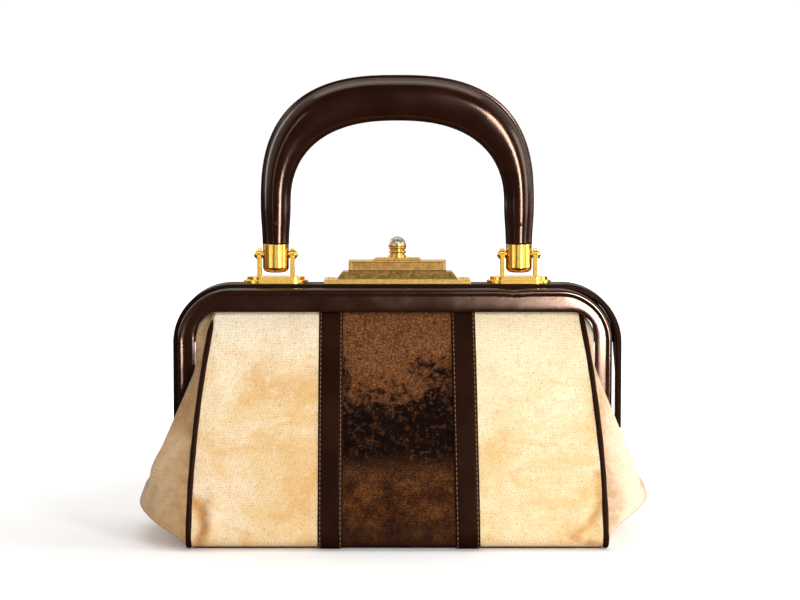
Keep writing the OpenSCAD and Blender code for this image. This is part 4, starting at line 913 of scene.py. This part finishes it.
# Pale floor that glows to white away from the bag; reflections see it darker, so the leather keeps its depth
scene = bpy.context.scene
white = linear("#ffffff")
floorMaterial, add, shader, place = newMaterial("white studio floor")
path = add("LightPath")
away = add("VectorMath", {0: place}, operation="LENGTH")["Value"]
glow = add("MapRange", {0: away, 1: 180, 2: 620, 3: 0.12}, **smooth)[0]
glow = add("Math", {0: glow, 1: path["Is Camera Ray"]}, **times)[0]
tone = add("Mix", {0: path["Is Glossy Ray"], 6: linear("#f7f5f3"), 7: linear("#2a2522")}, **rgb)[2]
fillInputs(shader, {"Base Color": tone, "Roughness": 0.8, "Specular IOR Level": 0.2, "Emission Color": white,
                    "Emission Strength": glow})
ground = dict(side=6000, front=-2500, back=6000)
corners = [(x, y, 0) for x, y in ((-ground["side"], ground["front"]), (ground["side"], ground["front"]),
                                  (ground["side"], ground["back"]), (-ground["side"], ground["back"]))]
floor = makePiece("floor", corners, [[0, 1, 2, 3]], floorMaterial)

# White behind and above the bag, a darker room on the camera's side; reflections also find pale walls on both sides
world = bpy.data.worlds.new("white studio")
scene.world = world
world.use_nodes = True
add = functools.partial(addNode, world.node_tree)
path = add("LightPath")
x, y, _ = add("SeparateXYZ", {0: add("TexCoord")["Generated"]})
room = add("Math", {0: x, 1: 0.45, 2: y}, **timesPlus)[0]
room = add("MapRange", {0: room, 1: -0.3, 2: 0.6, 3: 0.03, 4: 0.75}, **smooth)[0]
walls = add("Math", {0: x}, operation="ABSOLUTE")[0]
walls = add("Math", {0: walls, 1: 0.9, 2: y}, **timesPlus)[0]
walls = add("MapRange", {0: walls, 1: -0.3, 2: 0.65, 3: 0.03, 4: 0.9}, **smooth)[0]
level = add("Mix", {0: path["Is Glossy Ray"], 2: room, 3: walls}, data_type="FLOAT")[0]
ambient = world.node_tree.nodes["Background"]
fillInputs(ambient, {"Color": white, "Strength": level})
backdrop = add("Background", {"Color": white, "Strength": 1.05})[0]
mixed = add("MixShader", {0: path["Is Camera Ray"], 1: ambient.outputs[0], 2: backdrop})[0]
fillInputs(world.node_tree.nodes["World Output"], {"Surface": mixed})


def softBox(name, at, target, size, power, shines=True, fills=True, onlyOn=()):
    # a rectangular light; shines is for reflections, fills for diffuse light, onlyOn for the pieces it lights
    lamp = bpy.data.lights.new(name, "AREA")
    lamp.shape = "RECTANGLE"
    lamp.size, lamp.size_y = size
    lamp.energy = power
    made = bpy.data.objects.new(name, lamp)
    made.location = at
    made.rotation_euler = (Vector(target) - Vector(at)).to_track_quat("-Z", "Y").to_euler()
    made.visible_glossy = shines
    made.visible_diffuse = fills
    if onlyOn:
        made.light_linking.receiver_collection = bpy.data.collections.new(name)
        for piece in onlyOn:
            made.light_linking.receiver_collection.objects.link(piece)
    scene.collection.objects.link(made)


# Soft studio light, and cards that only the jaw, the handle or the brass reflect
brass = [frame["nodes"][entry["node"]] for entry in frame["record"]["subparts"] if "brass" in entry["material_slot"]]
middle = (0, 0, 0.15)
card = dict(target=middle, fills=False, onlyOn=brass)
lights = [
    dict(name="keyRight", at=(0.36, -0.68, 0.27), target=(0.02, 0, 0.1), size=(0.12, 0.5), power=3.4),
    dict(name="rightGlint", at=(0.252, -0.7, 0.17), target=(0.252, 0, 0.17), size=(0.195, 0.26), power=20,
         fills=False, onlyOn=[frontCover]),
    dict(name="handleGlint", at=(0.29, -0.68, 0.27), target=(0, 0, 0.2), size=(0.16, 0.5), power=8,
         fills=False, onlyOn=[grip]),
    dict(name="brassFront", at=(0, -1.0, 0.14), size=(0.5, 0.4), power=0.65, **card),
    dict(name="brassLeft", at=(-0.75, -0.65, 0.2), size=(0.45, 0.5), power=1.2, **card),
    dict(name="brassRight", at=(0.75, -0.65, 0.2), size=(0.45, 0.5), power=1.2, **card),
    dict(name="brassTop", at=(0, -0.7, 0.75), size=(0.8, 0.4), power=2.0, **card),
    dict(name="sideRight", at=(0.95, -0.1, 0.35), target=(0.1, 0, 0.08), size=(0.5, 0.6), power=4.2),
    dict(name="frontFill", at=(0.1, -1.7, 0.8), target=(0, 0, 0.08), size=(1.2, 0.8), power=9, shines=False),
    dict(name="leftStrip", at=(-0.42, -0.75, 0.35), target=middle, size=(0.06, 0.5), power=0.5),
    dict(name="leftEdge", at=(-0.9, 0.5, 0.5), target=middle, size=(0.3, 0.8), power=2.0),
    dict(name="topLight", at=(0, 0.1, 1.2), target=(0, 0, 0.1), size=(1.2, 0.6), power=5)]
for light in lights:
    softBox(**light)

view = dict(lens=112.5, sensor=36, at=(0.0015, -1.4, 0.247), down=4.7, far=50)
camera = bpy.data.cameras.new("camera")
camera.lens, camera.sensor_width = view["lens"], view["sensor"]
camera.clip_end = view["far"]
eye = bpy.data.objects.new("camera", camera)
eye.location = view["at"]
eye.rotation_euler = (math.radians(90 - view["down"]), 0, 0)
scene.collection.objects.link(eye)
scene.camera = eye
scene.view_settings.view_transform = "Standard"
print("stage: lights and camera set")
